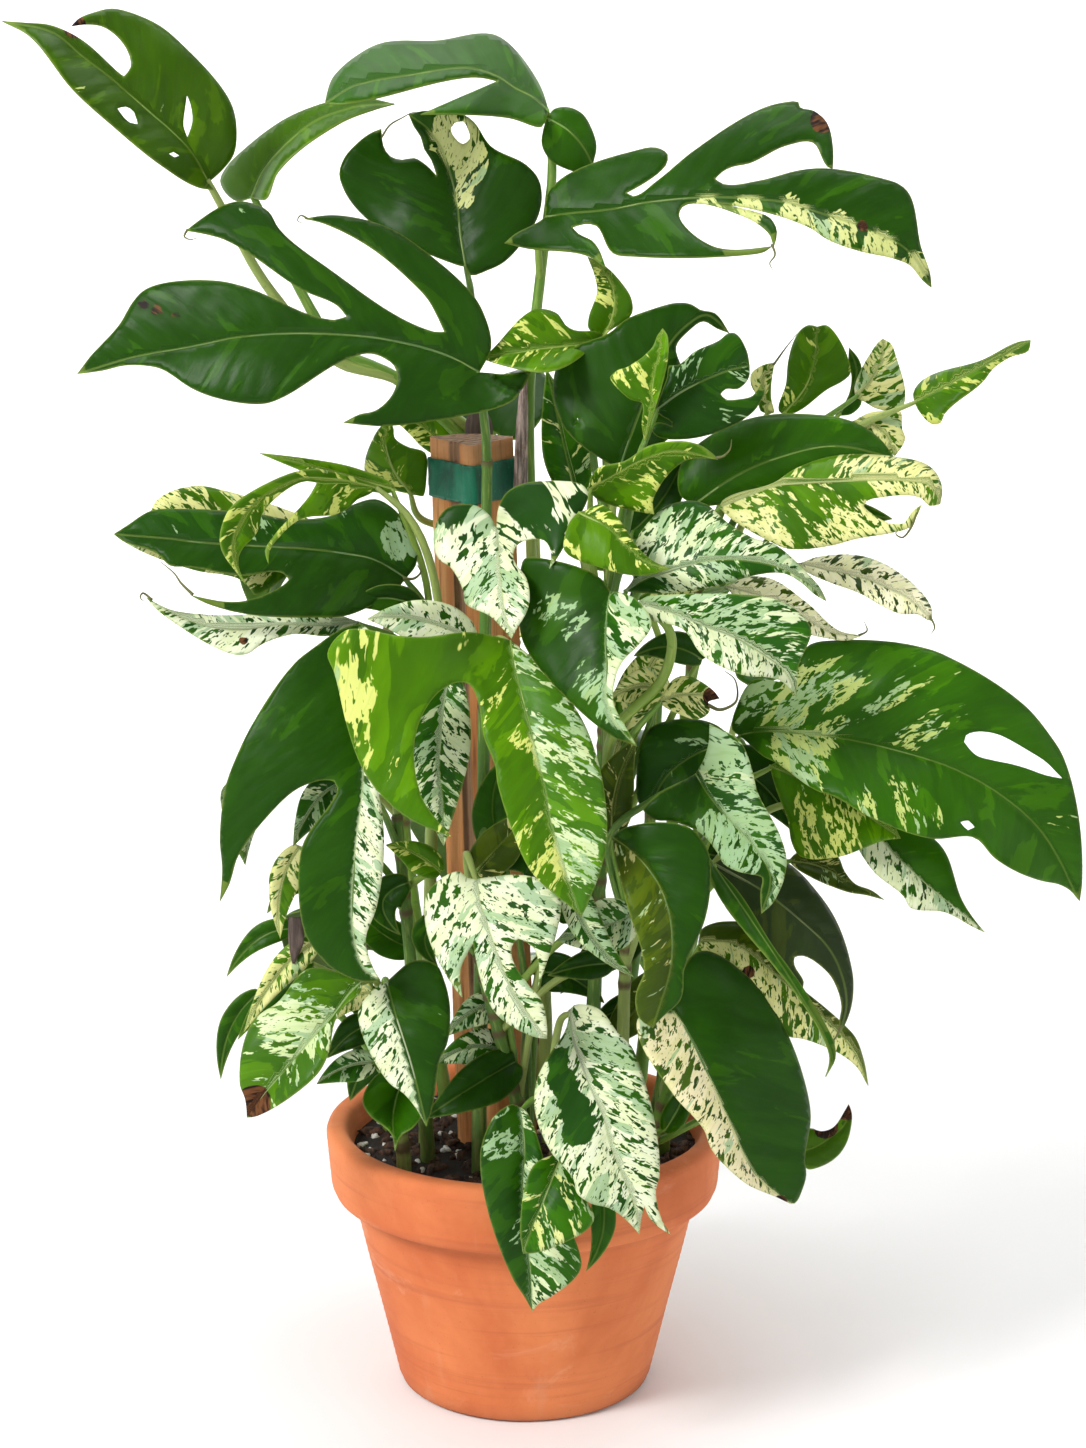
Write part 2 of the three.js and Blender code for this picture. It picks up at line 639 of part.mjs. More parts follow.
    leaves: [
      drawn(
        [[14, 788], [4, 796], [-6, 801], [-15, 807], [-31, 812], [-50, 811], [-69, 808], [-100, 802],
          [-117, 792]],
        [[10, 800], [3, 812], [-9, 826], [-17, 831], [-25, 832], [-50, 828], [-81, 827], [-92, 823],
          [-112, 807], [-115, 800]],
        [[10, 779], [-9, 784], [-61, 786], [-16, 805], [-25, 807], [-34, 807], [-105, 792]],
        [-5, -30, -75, 30, -60],
        { via: [[3, 630, -8], [10, 700, -8], [16, 755, -8]], thick: 3.3 },
      ),
      drawn(
        [[13, 784], [24, 778], [33, 769], [40, 757]],
        [[17, 789], [26, 790], [34, 786], [39, 778], [42, 768]],
        [[11, 778], [10, 769], [15, 760], [24, 755], [33, 753]],
        [-8, -12, -8, -6, -12],
        { from: [16, 760, -8] },
      ),
      drawn(
        [[12, 727], [30, 729], [50, 731], [70, 735], [99, 738], [125, 738], [154, 735], [175, 729],
          [194, 722], [212, 715], [226, 708], [241, 686]],
        [[13, 739], [19, 747], [28, 753], [64, 765], [77, 767], [84, 763], [83, 757], [60, 741],
          [64, 739], [78, 748], [99, 765], [138, 789], [153, 793], [160, 793], [161, 790], [169, 788],
          [177, 781], [181, 765], [181, 755], [178, 756], [169, 770], [153, 768], [132, 758],
          [122, 756], [116, 753], [112, 749], [117, 746], [138, 748], [162, 754], [177, 755],
          [211, 749], [220, 746], [225, 742], [228, 737], [234, 710], [240, 694]],
        [[8, 724], [-6, 717], [-12, 712], [0, 709], [38, 704], [48, 697], [45, 706], [40, 713],
          [32, 717], [28, 721], [35, 723], [42, 722], [52, 706], [65, 704], [131, 705], [142, 707],
          [146, 710], [123, 708], [111, 710], [95, 721], [91, 728], [93, 733], [99, 735], [130, 727],
          [139, 722], [145, 716], [147, 709], [149, 718], [145, 726], [139, 729], [112, 735],
          [133, 732], [168, 721], [179, 714], [199, 707], [218, 703], [228, 699], [236, 690]],
        [-35, -70, -75, -20, -95],
        { from: [9, 690, -8] },
      ),
    ],
  },
  {
    name: "leafy_stem_right_of_stake", root: [40, -30], top: [50, -50, 540],
    leaves: [
      drawn(
        [[47, 654], [30, 652], [10, 650], [-8, 647], [-25, 644]],
        [[45, 659], [29, 661], [24, 664], [20, 670], [13, 673], [6, 673], [-1, 669], [-17, 652]],
        [[41, 651], [29, 642], [21, 638], [10, 636], [-16, 641]],
        [-44, -62, -66, -50, -84],
        { via: [[40, 600, -28]] },
      ),
      drawn(
        [[46, 656], [52, 668], [53, 682], [47, 695], [37, 704]],
        [[38, 662], [38, 668], [43, 684], [41, 694]],
        [[51, 661], [61, 667], [64, 672], [63, 680], [57, 689], [48, 698]],
        [-36, -44, -44, -38, -52],
        { via: [[48, 600, -24]] },
      ),
      drawn(
        [[57, 579], [64, 600], [72, 622], [80, 642], [92, 660], [108, 670], [122, 659]],
        [[50, 582], [26, 600], [19, 614], [17, 628], [20, 641], [30, 651], [50, 659], [60, 667],
          [75, 673], [91, 677], [99, 676], [104, 673], [113, 671]],
        [[66, 584], [90, 600], [98, 612], [99, 626], [93, 640], [90, 651], [97, 660], [106, 666],
          [114, 662]],
        [-72, -68, -50, -56, -58],
      ),
      drawn(
        [[78, 613], [93, 624], [109, 632], [122, 637], [134, 640]],
        [[81, 622], [85, 633], [86, 640], [91, 640], [101, 648], [116, 655], [121, 659], [125, 659],
          [132, 649]],
        [[82, 610], [88, 606], [88, 604], [79, 606], [76, 602], [79, 598], [90, 596], [114, 600],
          [136, 612], [141, 619], [143, 625], [141, 629], [136, 622], [128, 620], [120, 620],
          [117, 623], [120, 626], [127, 626], [132, 630], [134, 634]],
        [-84, -84, -76, -76, -90],
        { via: [[62, 566, -82]] },
      ),
      drawn(
        [[72, 594], [75, 614], [77, 632], [80, 649], [82, 662]],
        [[70, 604], [70, 618], [63, 620], [51, 633], [55, 637], [61, 639], [76, 651], [79, 658]],
        [[75, 604], [85, 657]],
        [-92, -100, -98, -94, -104],
        { via: [[66, 566, -90]] },
      ),
      drawn(
        [[38, 566], [55, 576], [72, 585], [90, 590], [116, 584]],
        [[40, 574], [44, 579], [60, 583], [74, 592], [94, 595], [104, 593], [112, 588]],
        [[44, 560], [78, 551], [77, 558], [80, 566], [90, 579], [98, 584], [107, 585]],
        [-96, -110, -114, -102, -118],
      ),
      drawn(
        [[32, 552], [48, 544], [62, 531], [74, 522], [88, 518]],
        [[38, 554], [45, 557], [51, 554], [71, 528], [79, 522]],
        [[27, 546], [24, 529], [51, 517], [64, 514], [75, 514]],
        [-120, -132, -140, -126, -132],
      ),
      drawn(
        [[117, 555], [134, 562], [151, 568], [169, 570], [201, 571], [234, 570], [244, 567],
          [250, 557]],
        [[119, 559], [150, 570], [162, 578], [186, 586], [226, 585], [241, 581], [247, 576],
          [251, 566]],
        [[120, 552], [126, 547], [149, 534], [159, 530], [185, 532], [200, 536], [223, 540], [232, 543],
          [239, 557], [233, 552], [229, 546], [223, 545], [216, 547], [204, 556], [206, 559],
          [213, 561], [238, 561], [244, 556]],
        [-84, -92, -92, -70, -106],
      ),
      drawn(
        [[102, 557], [125, 573], [152, 585], [185, 592], [222, 585]],
        [[94, 562], [92, 572], [95, 583], [105, 594], [130, 607], [150, 611], [170, 611], [188, 609],
          [202, 604], [213, 596]],
        [[110, 556], [130, 560], [155, 568], [208, 580]],
        [-60, -68, -60, -50, -66],
      ),
      leaf([31, 560, 22], [22, 598, 30], [13, 638, 26], 14, 15, "oval"),
    ],
  },
  {
    name: "leafy_stem_far_right", root: [70, 15], top: [112, 12, 540],
    leaves: [
      drawn(
        [[155, 611], [168, 628], [173, 645], [174, 663]],
        [[152, 613], [156, 629], [157, 642], [160, 654], [164, 661], [169, 664]],
        [[162, 612], [181, 626], [190, 631], [194, 635], [193, 643], [184, 660], [179, 664]],
        [40, 35, 40, 45, 30],
      ),
      drawn(
        [[146, 611], [144, 622], [143, 633], [149, 642]],
        [[141, 613], [139, 621], [135, 629], [135, 635], [141, 640]],
        [[149, 612], [147, 621], [148, 637]],
        [50, 50, 50, 50, 46],
      ),
      drawn(
        [[198, 621], [207, 633], [213, 645], [213, 656]],
        [[197, 626], [209, 652]],
        [[204, 618], [209, 615], [220, 613], [224, 614], [227, 619], [221, 646], [218, 653]],
        [30, 25, 28, 35, 24],
      ),
      drawn(
        [[200, 609], [210, 603], [217, 597], [222, 586]],
        [[206, 612], [225, 612], [226, 602], [228, 597], [225, 590]],
        [[197, 607], [212, 597], [218, 590]],
        [12, 8, 8, 12, 6],
      ),
      drawn(
        [[188, 610], [194, 622], [198, 637], [193, 651]],
        [[185, 611], [191, 617], [194, 624], [195, 633], [193, 643]],
        [[195, 611], [201, 617], [200, 629], [201, 638], [199, 644]],
        [45, 48, 50, 46, 46],
      ),
      drawn(
        [[233, 618], [248, 625], [258, 631], [275, 640], [292, 649], [301, 655]],
        [[232, 623], [235, 629], [242, 634], [272, 643], [294, 654]],
        [[235, 614], [244, 605], [249, 606], [251, 611], [274, 631], [279, 638], [289, 645],
          [300, 649]],
        [0, -10, -15, 10, -22],
        { via: [[150, 575, 5], [200, 604, 5]] },
      ),
      drawn(
        [[166, 521], [190, 515], [212, 509], [232, 499], [247, 486]],
        [[177, 525], [206, 525], [231, 512], [247, 493]],
        [[168, 518], [184, 510], [203, 503], [221, 493], [230, 490], [239, 490], [244, 487]],
        [-60, -70, -75, -55, -80],
      ),
      drawn(
        [[122, 507], [145, 500], [170, 487], [188, 478], [205, 477]],
        [[130, 512], [148, 512], [171, 497], [191, 480]],
        [[128, 500], [165, 480], [186, 475], [196, 474]],
        [-70, -78, -75, -70, -84],
      ),
    ],
  },
  {
    name: "leafy_stem_left", root: [-62, -12], top: [-54, -28, 475],
    leaves: [
      drawn(
        [[-72, 512], [-81, 518], [-93, 524], [-108, 527], [-124, 529], [-150, 531], [-185, 533],
          [-216, 536], [-248, 539]],
        [[-66, 520], [-65, 530], [-71, 544], [-80, 555], [-90, 560], [-100, 558], [-117, 550],
          [-130, 548], [-145, 548], [-160, 551], [-211, 554], [-225, 553], [-240, 544]],
        [[-78, 505], [-90, 497], [-109, 489], [-124, 488], [-168, 490], [-194, 497], [-203, 502],
          [-183, 498], [-171, 498], [-149, 506], [-143, 511], [-146, 515], [-155, 516], [-165, 514],
          [-175, 514], [-202, 519], [-215, 520], [-222, 527], [-243, 535]],
        [-50, -80, -85, -50, -95],
      ),
      drawn(
        [[-112, 532], [-150, 541], [-185, 545], [-220, 545], [-247, 539]],
        [[-125, 545], [-150, 556], [-184, 566], [-195, 568], [-209, 566], [-222, 559], [-226, 552],
          [-237, 546]],
        [[-125, 526], [-164, 502], [-168, 508], [-174, 512], [-200, 517], [-240, 533]],
        [-30, -55, -70, -40, -70],
      ),
      drawn(
        [[-88, 567], [-104, 571], [-120, 573], [-135, 573], [-150, 567], [-163, 558], [-172, 547],
          [-177, 534], [-176, 521], [-169, 508]],
        [[-96, 571], [-123, 578], [-131, 578], [-150, 572], [-177, 555], [-182, 546], [-184, 537],
          [-183, 529], [-173, 514]],
        [[-94, 563], [-101, 560], [-106, 555], [-114, 551], [-135, 548], [-150, 535], [-154, 529],
          [-155, 521], [-157, 529], [-153, 536], [-129, 563], [-125, 570], [-131, 571], [-138, 569],
          [-155, 556], [-159, 550], [-160, 544], [-163, 538], [-170, 531], [-173, 525], [-173, 519]],
        [-65, -108, -125, -92, -115],
        { via: [[-52, 490, -45], [-60, 530, -55], [-72, 552, -60]] },
      ),
      drawn(
        [[-100, 485], [-120, 483], [-150, 483], [-180, 481], [-205, 486], [-229, 500]],
        [[-112, 489], [-212, 492], [-222, 496]],
        [[-108, 481], [-118, 477], [-140, 478], [-152, 475], [-161, 471], [-168, 466], [-174, 465],
          [-180, 466], [-217, 488], [-224, 494]],
        [-70, -84, -90, -76, -96],
      ),
      leaf([-64, 494, -62], [-86, 500, -70], [-110, 494, -76], 9, 9, "oval"),
      leaf([-78, 566, -60], [-118, 577, -74], [-160, 588, -80], 6, 6, "lance"),
    ],
  },
  {
    name: "leafy_stem_centre", root: [36, -58], top: [48, -72, 405],
    leaves: [
      drawn(
        [[60, 504], [75, 512], [95, 519], [120, 523], [145, 521], [165, 513], [183, 498]],
        [[66, 512], [66, 524], [68, 536], [73, 544], [84, 555], [92, 558], [100, 559], [109, 557],
          [122, 546], [139, 536], [150, 533], [172, 514], [179, 506]],
        [[72, 503], [86, 503], [115, 507], [140, 514], [157, 515], [168, 509], [176, 502]],
        [-106, -130, -130, -95, -128],
      ),
      drawn(
        [[68, 497], [86, 492], [106, 484], [127, 476], [144, 466], [158, 455], [166, 439]],
        [[74, 501], [86, 502], [143, 501], [155, 498], [164, 493], [171, 486], [174, 480], [167, 459],
          [166, 449]],
        [[72, 489], [96, 481], [108, 465], [126, 455], [136, 452], [150, 451], [158, 448]],
        [-122, -156, -156, -150, -165],
        { via: [[55, 418, -90], [84, 450, -100], [88, 480, -115]] },
      ),
      drawn(
        [[52, 504], [50, 488], [49, 472], [50, 457], [50, 441], [55, 425], [69, 408]],
        [[46, 512], [12, 524], [0, 524], [-3, 512], [-4, 498], [-3, 483], [0, 471], [33, 431],
          [55, 414]],
        [[60, 503], [70, 497], [77, 484], [69, 471], [61, 463], [56, 454], [54, 436], [63, 418]],
        [-130, -156, -168, -118, -172],
      ),
      drawn(
        [[82, 436], [95, 440], [106, 440], [119, 438]],
        [[86, 443], [91, 450], [98, 452], [115, 443]],
        [[85, 433], [95, 428], [106, 425], [113, 430], [112, 436]],
        [-100, -108, -110, -100, -114],
      ),
      leaf([84, 440, -84], [70, 445, -86], [51, 436, -88], 14, 12, "oval"),
      leaf([108, 462, -84], [88, 470, -88], [66, 464, -90], 9, 10, "oval"),
    ],
  },
  {
    name: "leafy_stem_lower_left", root: [-60, -36], top: [-76, -58, 380],
    leaves: [
      drawn(
        [[-99, 484], [-101, 450], [-100, 420], [-99, 390], [-101, 370], [-104, 348], [-106, 325],
          [-107, 300], [-105, 282], [-100, 267], [-90, 259]],
        [[-109, 482], [-129, 469], [-140, 460], [-166, 423], [-180, 394], [-184, 382], [-188, 350],
          [-187, 330], [-189, 310], [-183, 321], [-177, 339], [-153, 370], [-142, 380], [-132, 385],
          [-123, 387], [-117, 386], [-115, 382], [-121, 370], [-133, 354], [-137, 346], [-140, 325],
          [-138, 295], [-134, 284], [-127, 274], [-120, 267], [-100, 258]],
        [[-92, 478], [-87, 455], [-85, 425], [-90, 380], [-88, 368], [-87, 340], [-92, 306], [-99, 285],
          [-97, 274], [-93, 264]],
        [-80, -125, -140, -108, -118],
      ),
      leaf([-138, 345, -80], [-150, 320, -85], [-152, 286, -85], 10, 9, "lance"),
      leaf([-112, 384, -85], [-128, 373, -90], [-143, 345, -92], 13, 11, "oval"),
      leaf([-52, 328, -74], [-68, 340, -72], [-86, 346, -74], 10, 9, "oval"),
      leaf([-72, 322, -64], [-88, 309, -66], [-77, 288, -70], 12, 11, "oval"),
      leaf([-126, 330, -72], [-145, 320, -72], [-160, 302, -74], 7, 8, "lance"),
    ],
  },
  {
    name: "leafy_stem_right", root: [86, -20], top: [108, -42, 370],
    leaves: [
      drawn(
        [[131, 415], [142, 417], [157, 417], [176, 415], [199, 412], [226, 406], [258, 396], [289, 380],
          [318, 355], [344, 310]],
        [[127, 419], [131, 437], [135, 445], [140, 450], [158, 449], [165, 455], [168, 464], [173, 471],
          [192, 474], [223, 473], [240, 470], [253, 466], [305, 434], [323, 413], [330, 402],
          [341, 365], [345, 320]],
        [[136, 411], [146, 402], [154, 398], [180, 380], [190, 377], [210, 365], [251, 350], [276, 351],
          [280, 349], [290, 338], [304, 329], [320, 323], [330, 321], [338, 317]],
        [-70, -110, -100, -85, -130],
        { holes: [
          [[269, 411], [270, 415], [275, 417], [283, 417], [291, 415], [301, 410], [311, 404], [320, 398],
            [330, 388], [320, 390], [309, 394], [299, 397], [285, 400], [278, 402], [274, 405]],
          [[268, 360], [273, 361], [277, 357], [273, 355]],
        ] },
      ),
      drawn(
        [[128, 412], [116, 408], [103, 402], [88, 390], [75, 366]],
        [[118, 421], [105, 425], [81, 422], [75, 417], [71, 409], [69, 395], [70, 373]],
        [[125, 398], [116, 384], [104, 372], [90, 364]],
        [-90, -92, -96, -82, -100],
        { via: [[124, 378, -78]] },
      ),
      drawn(
        [[150, 396], [175, 385], [202, 370], [232, 350]],
        [[165, 402], [190, 394], [212, 378], [226, 362]],
        [[155, 380], [162, 362], [165, 347], [170, 339], [192, 338], [223, 349]],
        [-60, -80, -85, -70, -86],
      ),
      drawn(
        [[203, 374], [222, 347], [248, 321], [286, 290]],
        [[216, 374], [235, 362], [258, 344], [271, 311], [278, 300]],
        [[200, 362], [204, 348], [216, 329], [235, 313], [239, 306], [261, 303], [278, 294]],
        [-50, -75, -80, -65, -85],
      ),
      drawn(
        [[163, 336], [180, 333], [200, 323], [223, 311]],
        [[168, 341], [180, 344], [193, 339], [198, 329], [205, 321], [215, 317]],
        [[168, 331], [200, 316], [212, 314]],
        [-50, -55, -55, -50, -60],
      ),
    ],
  },
  {
    name: "leafy_stem_middle_right", root: [58, -50], top: [60, -86, 330],
    leaves: [
      drawn(
        [[54, 351], [68, 340], [82, 322], [90, 300], [91, 270], [80, 228]],
        [[60, 356], [76, 360], [89, 360], [99, 358], [104, 355], [110, 348], [114, 339], [115, 320],
          [112, 299], [99, 264], [99, 254], [97, 246], [86, 235]],
        [[55, 342], [64, 306], [74, 272], [74, 263], [70, 253], [69, 244], [72, 234]],
        [-130, -160, -165, -150, -160],
      ),
      drawn(
        [[105, 391], [113, 378], [125, 363], [142, 344], [152, 326], [147, 302]],
        [[110, 400], [113, 412], [113, 422], [126, 416], [133, 410], [140, 392], [143, 380], [158, 351],
          [162, 334], [154, 309]],
        [[95, 385], [82, 378], [73, 368], [80, 362], [90, 361], [109, 353], [119, 341], [123, 334],
          [132, 329], [147, 325], [146, 315]],
        [-110, -140, -150, -138, -135],
        { via: [[53, 352, -100], [78, 374, -105]] },
      ),
      drawn(
        [[117, 334], [148, 316], [172, 297], [188, 281], [197, 264], [201, 243], [197, 224]],
        [[125, 339], [145, 340], [158, 337], [167, 331], [176, 322], [193, 298], [204, 265], [205, 253],
          [204, 242], [201, 232]],
        [[116, 326], [125, 308], [172, 249], [174, 258], [168, 269], [168, 274], [173, 275], [187, 266],
          [193, 258], [198, 242], [197, 233]],
        [-95, -110, -100, -88, -112],
      ),
      drawn(
        [[114, 337], [124, 322], [137, 303], [151, 282], [164, 262], [177, 241], [188, 222], [193, 205],
          [189, 196]],
        [[118, 332], [132, 317], [156, 279], [165, 267], [189, 229], [194, 218], [195, 208]],
        [[114, 327], [157, 266], [169, 251], [191, 211], [191, 203]],
        [-125, -142, -145, -138, -148],
      ),
      leaf([54, 352, -90], [56, 383, -94], [69, 414, -92], 15, 12, "oval"),
    ],
  },
  {
    name: "leafy_stem_middle", root: [5, -60], top: [-28, -80, 300],
    leaves: [
      drawn(
        [[-30, 324], [-27, 308], [-23, 295], [-18, 280], [-13, 266], [-6, 251], [3, 237], [14, 221]],
        [[-36, 325], [-40, 329], [-48, 327], [-56, 321], [-61, 313], [-62, 302], [-61, 292], [-57, 279],
          [-45, 256], [-39, 248], [-40, 266], [-32, 283], [-28, 262], [-24, 249], [-19, 239],
          [-12, 232], [7, 222]],
        [[-25, 325], [3, 326], [18, 317], [22, 311], [22, 302], [8, 254], [9, 268], [7, 277], [2, 283],
          [-4, 286], [-8, 281], [-8, 274], [4, 254], [10, 247], [14, 229]],
        [-130, -155, -160, -140, -145],
        { via: [[-36, 340, -105]] },
      ),
      leaf([-30, 330, -100], [-12, 350, -105], [10, 372, -108], 12, 14, "oval"),
      leaf([30, 325, -120], [40, 292, -138], [68, 261, -140], 10, 10, "lance"),
      leaf([65, 300, -100], [45, 292, -110], [20, 285, -110], 16, 16, "oval"),
      leaf([55, 270, -90], [35, 268, -98], [14, 262, -102], 9, 9, "lance"),
      leaf([-6, 206, -70], [-32, 190, -85], [-64, 168, -90], 16, 14, "oval"),
      leaf([-8, 208, -60], [-32, 215, -65], [-56, 203, -70], 13, 12, "oval"),
      leaf([-18, 242, -60], [-32, 238, -65], [-50, 222, -70], 10, 10, "oval"),
      leaf([18, 330, -94], [-2, 346, -98], [-34, 324, -100], 20, 14, "oval"),
      leaf([-48, 299, -84], [-62, 287, -88], [-54, 268, -90], 9, 9, "oval"),
    ],
  },
  {
    name: "leafy_stem_low_left", root: [-74, -54], top: [-85, -66, 270],
    leaves: [
      drawn(
        [[-102, 258], [-109, 251], [-120, 236], [-133, 221], [-149, 202], [-163, 186], [-175, 169]],
        [[-106, 260], [-128, 267], [-136, 266], [-155, 244], [-164, 238], [-171, 231], [-179, 191],
          [-176, 182]],
        [[-102, 253], [-115, 240], [-119, 232], [-123, 212], [-128, 201], [-137, 191], [-169, 170]],
        [-95, -120, -120, -105, -130],
      ),
      drawn(
        [[-86, 258], [-82, 241], [-77, 224], [-72, 207], [-66, 182], [-62, 163]],
        [[-91, 256], [-98, 249], [-104, 239], [-103, 229], [-100, 219], [-85, 192], [-76, 185],
          [-69, 176]],
        [[-82, 262], [-71, 271], [-63, 272], [-55, 269], [-50, 258], [-47, 244], [-47, 229], [-49, 217],
          [-53, 209], [-58, 177]],
        [-110, -132, -135, -125, -120],
      ),
      leaf([-140, 292, -60], [-165, 286, -65], [-186, 261, -65], 7, 8, "lance"),
      leaf([-128, 284, -80], [-152, 264, -85], [-176, 225, -88], 9, 9, "lance"),
      leaf([-132, 272, -70], [-158, 250, -75], [-180, 220, -75], 8, 8, "lance"),
      leaf([-165, 252, -60], [-184, 228, -62], [-191, 194, -60], 7, 8, "lance"),
      leaf([-95, 205, -85], [-112, 202, -90], [-131, 191, -90], 10, 9, "oval"),
      leaf([-94, 231, -74], [-109, 224, -78], [-124, 208, -80], 10, 10, "oval"),
      leaf([-96, 250, -78], [-110, 246, -80], [-123, 230, -82], 8, 9, "oval"),
      drawn(
        [[-74, 198], [-80, 185], [-83, 170], [-82, 147]],
        [[-84, 200], [-92, 198], [-100, 188], [-102, 179], [-98, 171], [-84, 158]],
        [[-66, 195], [-63, 184], [-63, 176], [-66, 168], [-71, 162], [-78, 157]],
        [-75, -90, -130, -95, -100],
      ),
    ],
  },
  {
    name: "leafy_stem_low_right", root: [74, -52], top: [98, -74, 250],
    leaves: [
      drawn(
        [[108, 284], [130, 282], [155, 263], [180, 240], [203, 217], [216, 190]],
        [[110, 292], [118, 296], [126, 297], [136, 296], [144, 289], [158, 268], [199, 231], [207, 222],
          [213, 206]],
        [[108, 278], [117, 275], [128, 269], [149, 249], [164, 223], [174, 221], [192, 214], [201, 209],
          [209, 202]],
        [-80, -88, -84, -78, -98],
      ),
      drawn(
        [[91, 240], [100, 228], [109, 211], [116, 195], [123, 178], [131, 160], [138, 145], [147, 130],
          [155, 122], [168, 112]],
        [[93, 249], [101, 271], [107, 277], [113, 278], [123, 274], [136, 264], [148, 252], [164, 225],
          [176, 192], [180, 170], [177, 141], [178, 131], [176, 122], [171, 112]],
        [[82, 240], [74, 238], [70, 231], [93, 185], [113, 161], [118, 148], [133, 131], [142, 124],
          [160, 116]],
        [-110, -140, -125, -100, -150],
      ),
      drawn(
        [[173, 146], [184, 150], [193, 156], [202, 165], [204, 178]],
        [[176, 156], [180, 162], [187, 160], [194, 162], [202, 174]],
        [[179, 135], [190, 138], [198, 144], [203, 152], [206, 164], [206, 172]],
        [-60, -65, -65, -64, -66],
        { via: [[140, 176, -62]] },
      ),
      leaf([88, 160, -66], [98, 178, -72], [104, 196, -74], 8, 8, "lance"),
    ],
  },
  {
    name: "leafy_stem_low_centre", root: [20, -82], top: [16, -96, 240],
    leaves: [
      drawn(
        [[28, 240], [30, 222], [35, 206], [42, 187], [49, 171], [55, 148], [62, 130], [69, 112],
          [73, 91]],
        [[31, 243], [40, 243], [47, 240], [59, 224], [66, 217], [71, 206], [82, 165], [85, 129],
          [83, 121], [87, 101], [93, 91], [84, 97], [79, 103], [76, 110], [74, 101]],
        [[26, 228], [14, 208], [8, 195], [6, 182], [8, 167], [17, 146], [31, 128], [33, 119], [42, 112],
          [53, 109], [61, 104], [68, 97]],
        [-120, -150, -155, -140, -150],
      ),
      drawn(
        [[-3, 176], [0, 150], [-1, 120], [1, 90], [4, 65], [5, 39]],
        [[-8, 178], [-14, 175], [-20, 169], [-25, 158], [-28, 145], [-24, 110], [-7, 60], [-1, 50]],
        [[1, 173], [5, 165], [18, 120], [35, 78], [36, 70], [33, 63], [17, 49], [9, 44]],
        [-119, -138, -138, -134, -140],
      ),
      drawn(
        [[24, 146], [18, 130], [11, 111], [5, 96], [-1, 78]],
        [[17, 144], [7, 139], [2, 130], [-3, 94], [-2, 84]],
        [[28, 140], [35, 119], [40, 112], [44, 103], [42, 97], [17, 82], [8, 79]],
        [-136, -158, -163, -157, -157],
      ),
      leaf([47, 126, -136], [50, 95, -140], [39, 66, -140], 7, 8, "lance"),
    ],
  },
  {
    name: "leafy_stem_back_left", root: [-52, 62], top: [-88, 92, 470], bow: [-6, 8],
    leaves: [
      rearLeaf(135, 150, 500, 130, 46, 5, -55, "oval", { a: [[4, 0.3]] }),
      rearLeaf(140, 160, 360, 125, 45, -10, -65, "heart"),
      rearLeaf(130, 140, 245, 110, 42, -15, -60, "oval"),
    ],
  },
  {
    name: "leafy_stem_back", root: [10, 72], top: [6, 112, 540], bow: [4, 10],
    leaves: [
      rearLeaf(100, 140, 590, 125, 46, 20, -45, "heart"),
      rearLeaf(98, 165, 440, 130, 48, -5, -60, "oval", { b: [[5, 0.35]] }),
      rearLeaf(102, 160, 310, 120, 44, -10, -60, "heart"),
      rearLeaf(96, 145, 215, 90, 32, -5, -45, "oval"),
    ],
  },
  {
    name: "leafy_stem_back_right", root: [58, 60], top: [88, 96, 460], bow: [6, 8],
    leaves: [
      rearLeaf(64, 155, 500, 130, 46, 5, -55, "heart"),
      rearLeaf(60, 165, 370, 125, 45, -10, -65, "oval", { a: [[5, 0.35]] }),
      rearLeaf(66, 145, 250, 110, 42, -15, -60, "heart"),
    ],
  },
  {
    name: "leafy_stem_left_side", root: [-86, 18], top: [-122, 38, 380],
    leaves: [
      rearLeaf(160, 116, 396, 92, 34, 0, -60, "heart"),
      rearLeaf(152, 104, 290, 92, 34, -10, -65, "oval"),
    ],
  },
  {
    name: "leafy_stem_right_side", root: [84, 26], top: [128, 52, 380],
    leaves: [
      rearLeaf(28, 165, 430, 120, 42, 0, -60, "oval"),
      rearLeaf(34, 132, 300, 96, 36, -10, -65, "heart"),
    ],
  },
];

const root = new THREE.Group();

for (const stem of stems) {
  const parts = [stemSolid(stem)];
  for (const one of stem.leaves) parts.push(petioleSolid(stem, one), bladeSolid(one));
  const solid = outerBody(wasm.Manifold.union(parts));
  root.add(named(stem.name, geometryOf(solid), colours.leaf, 0.4));
}

const stakeShape = new THREE.Shape(stakeOutline(clearance, false));
const stakeHole = leaning(stakeShape, stakeSize.foot - clearance, stakeSize.top);
root.add(named("pot", geometryOf(makePot()), colours.terracotta, 0.85));
root.add(named("soil", geometryOf(makeSoil([stakeHole, ...stems.map(stemHole)])), colours.soil, 0.95));
const stake = leaning(new THREE.Shape(stakeOutline(0, true)), stakeSize.foot, stakeSize.top);
root.add(named("stake", geometryOf(stake), colours.cedar, 0.8));
root.add(named("tape", geometryOf(makeTape()), colours.tape, 0.5));

export default root;
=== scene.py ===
import itertools
import math
import random

import bpy
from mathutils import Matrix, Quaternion, Vector, noise
from mathutils.geometry import delaunay_2d_cdt
from mathutils.kdtree import KDTree


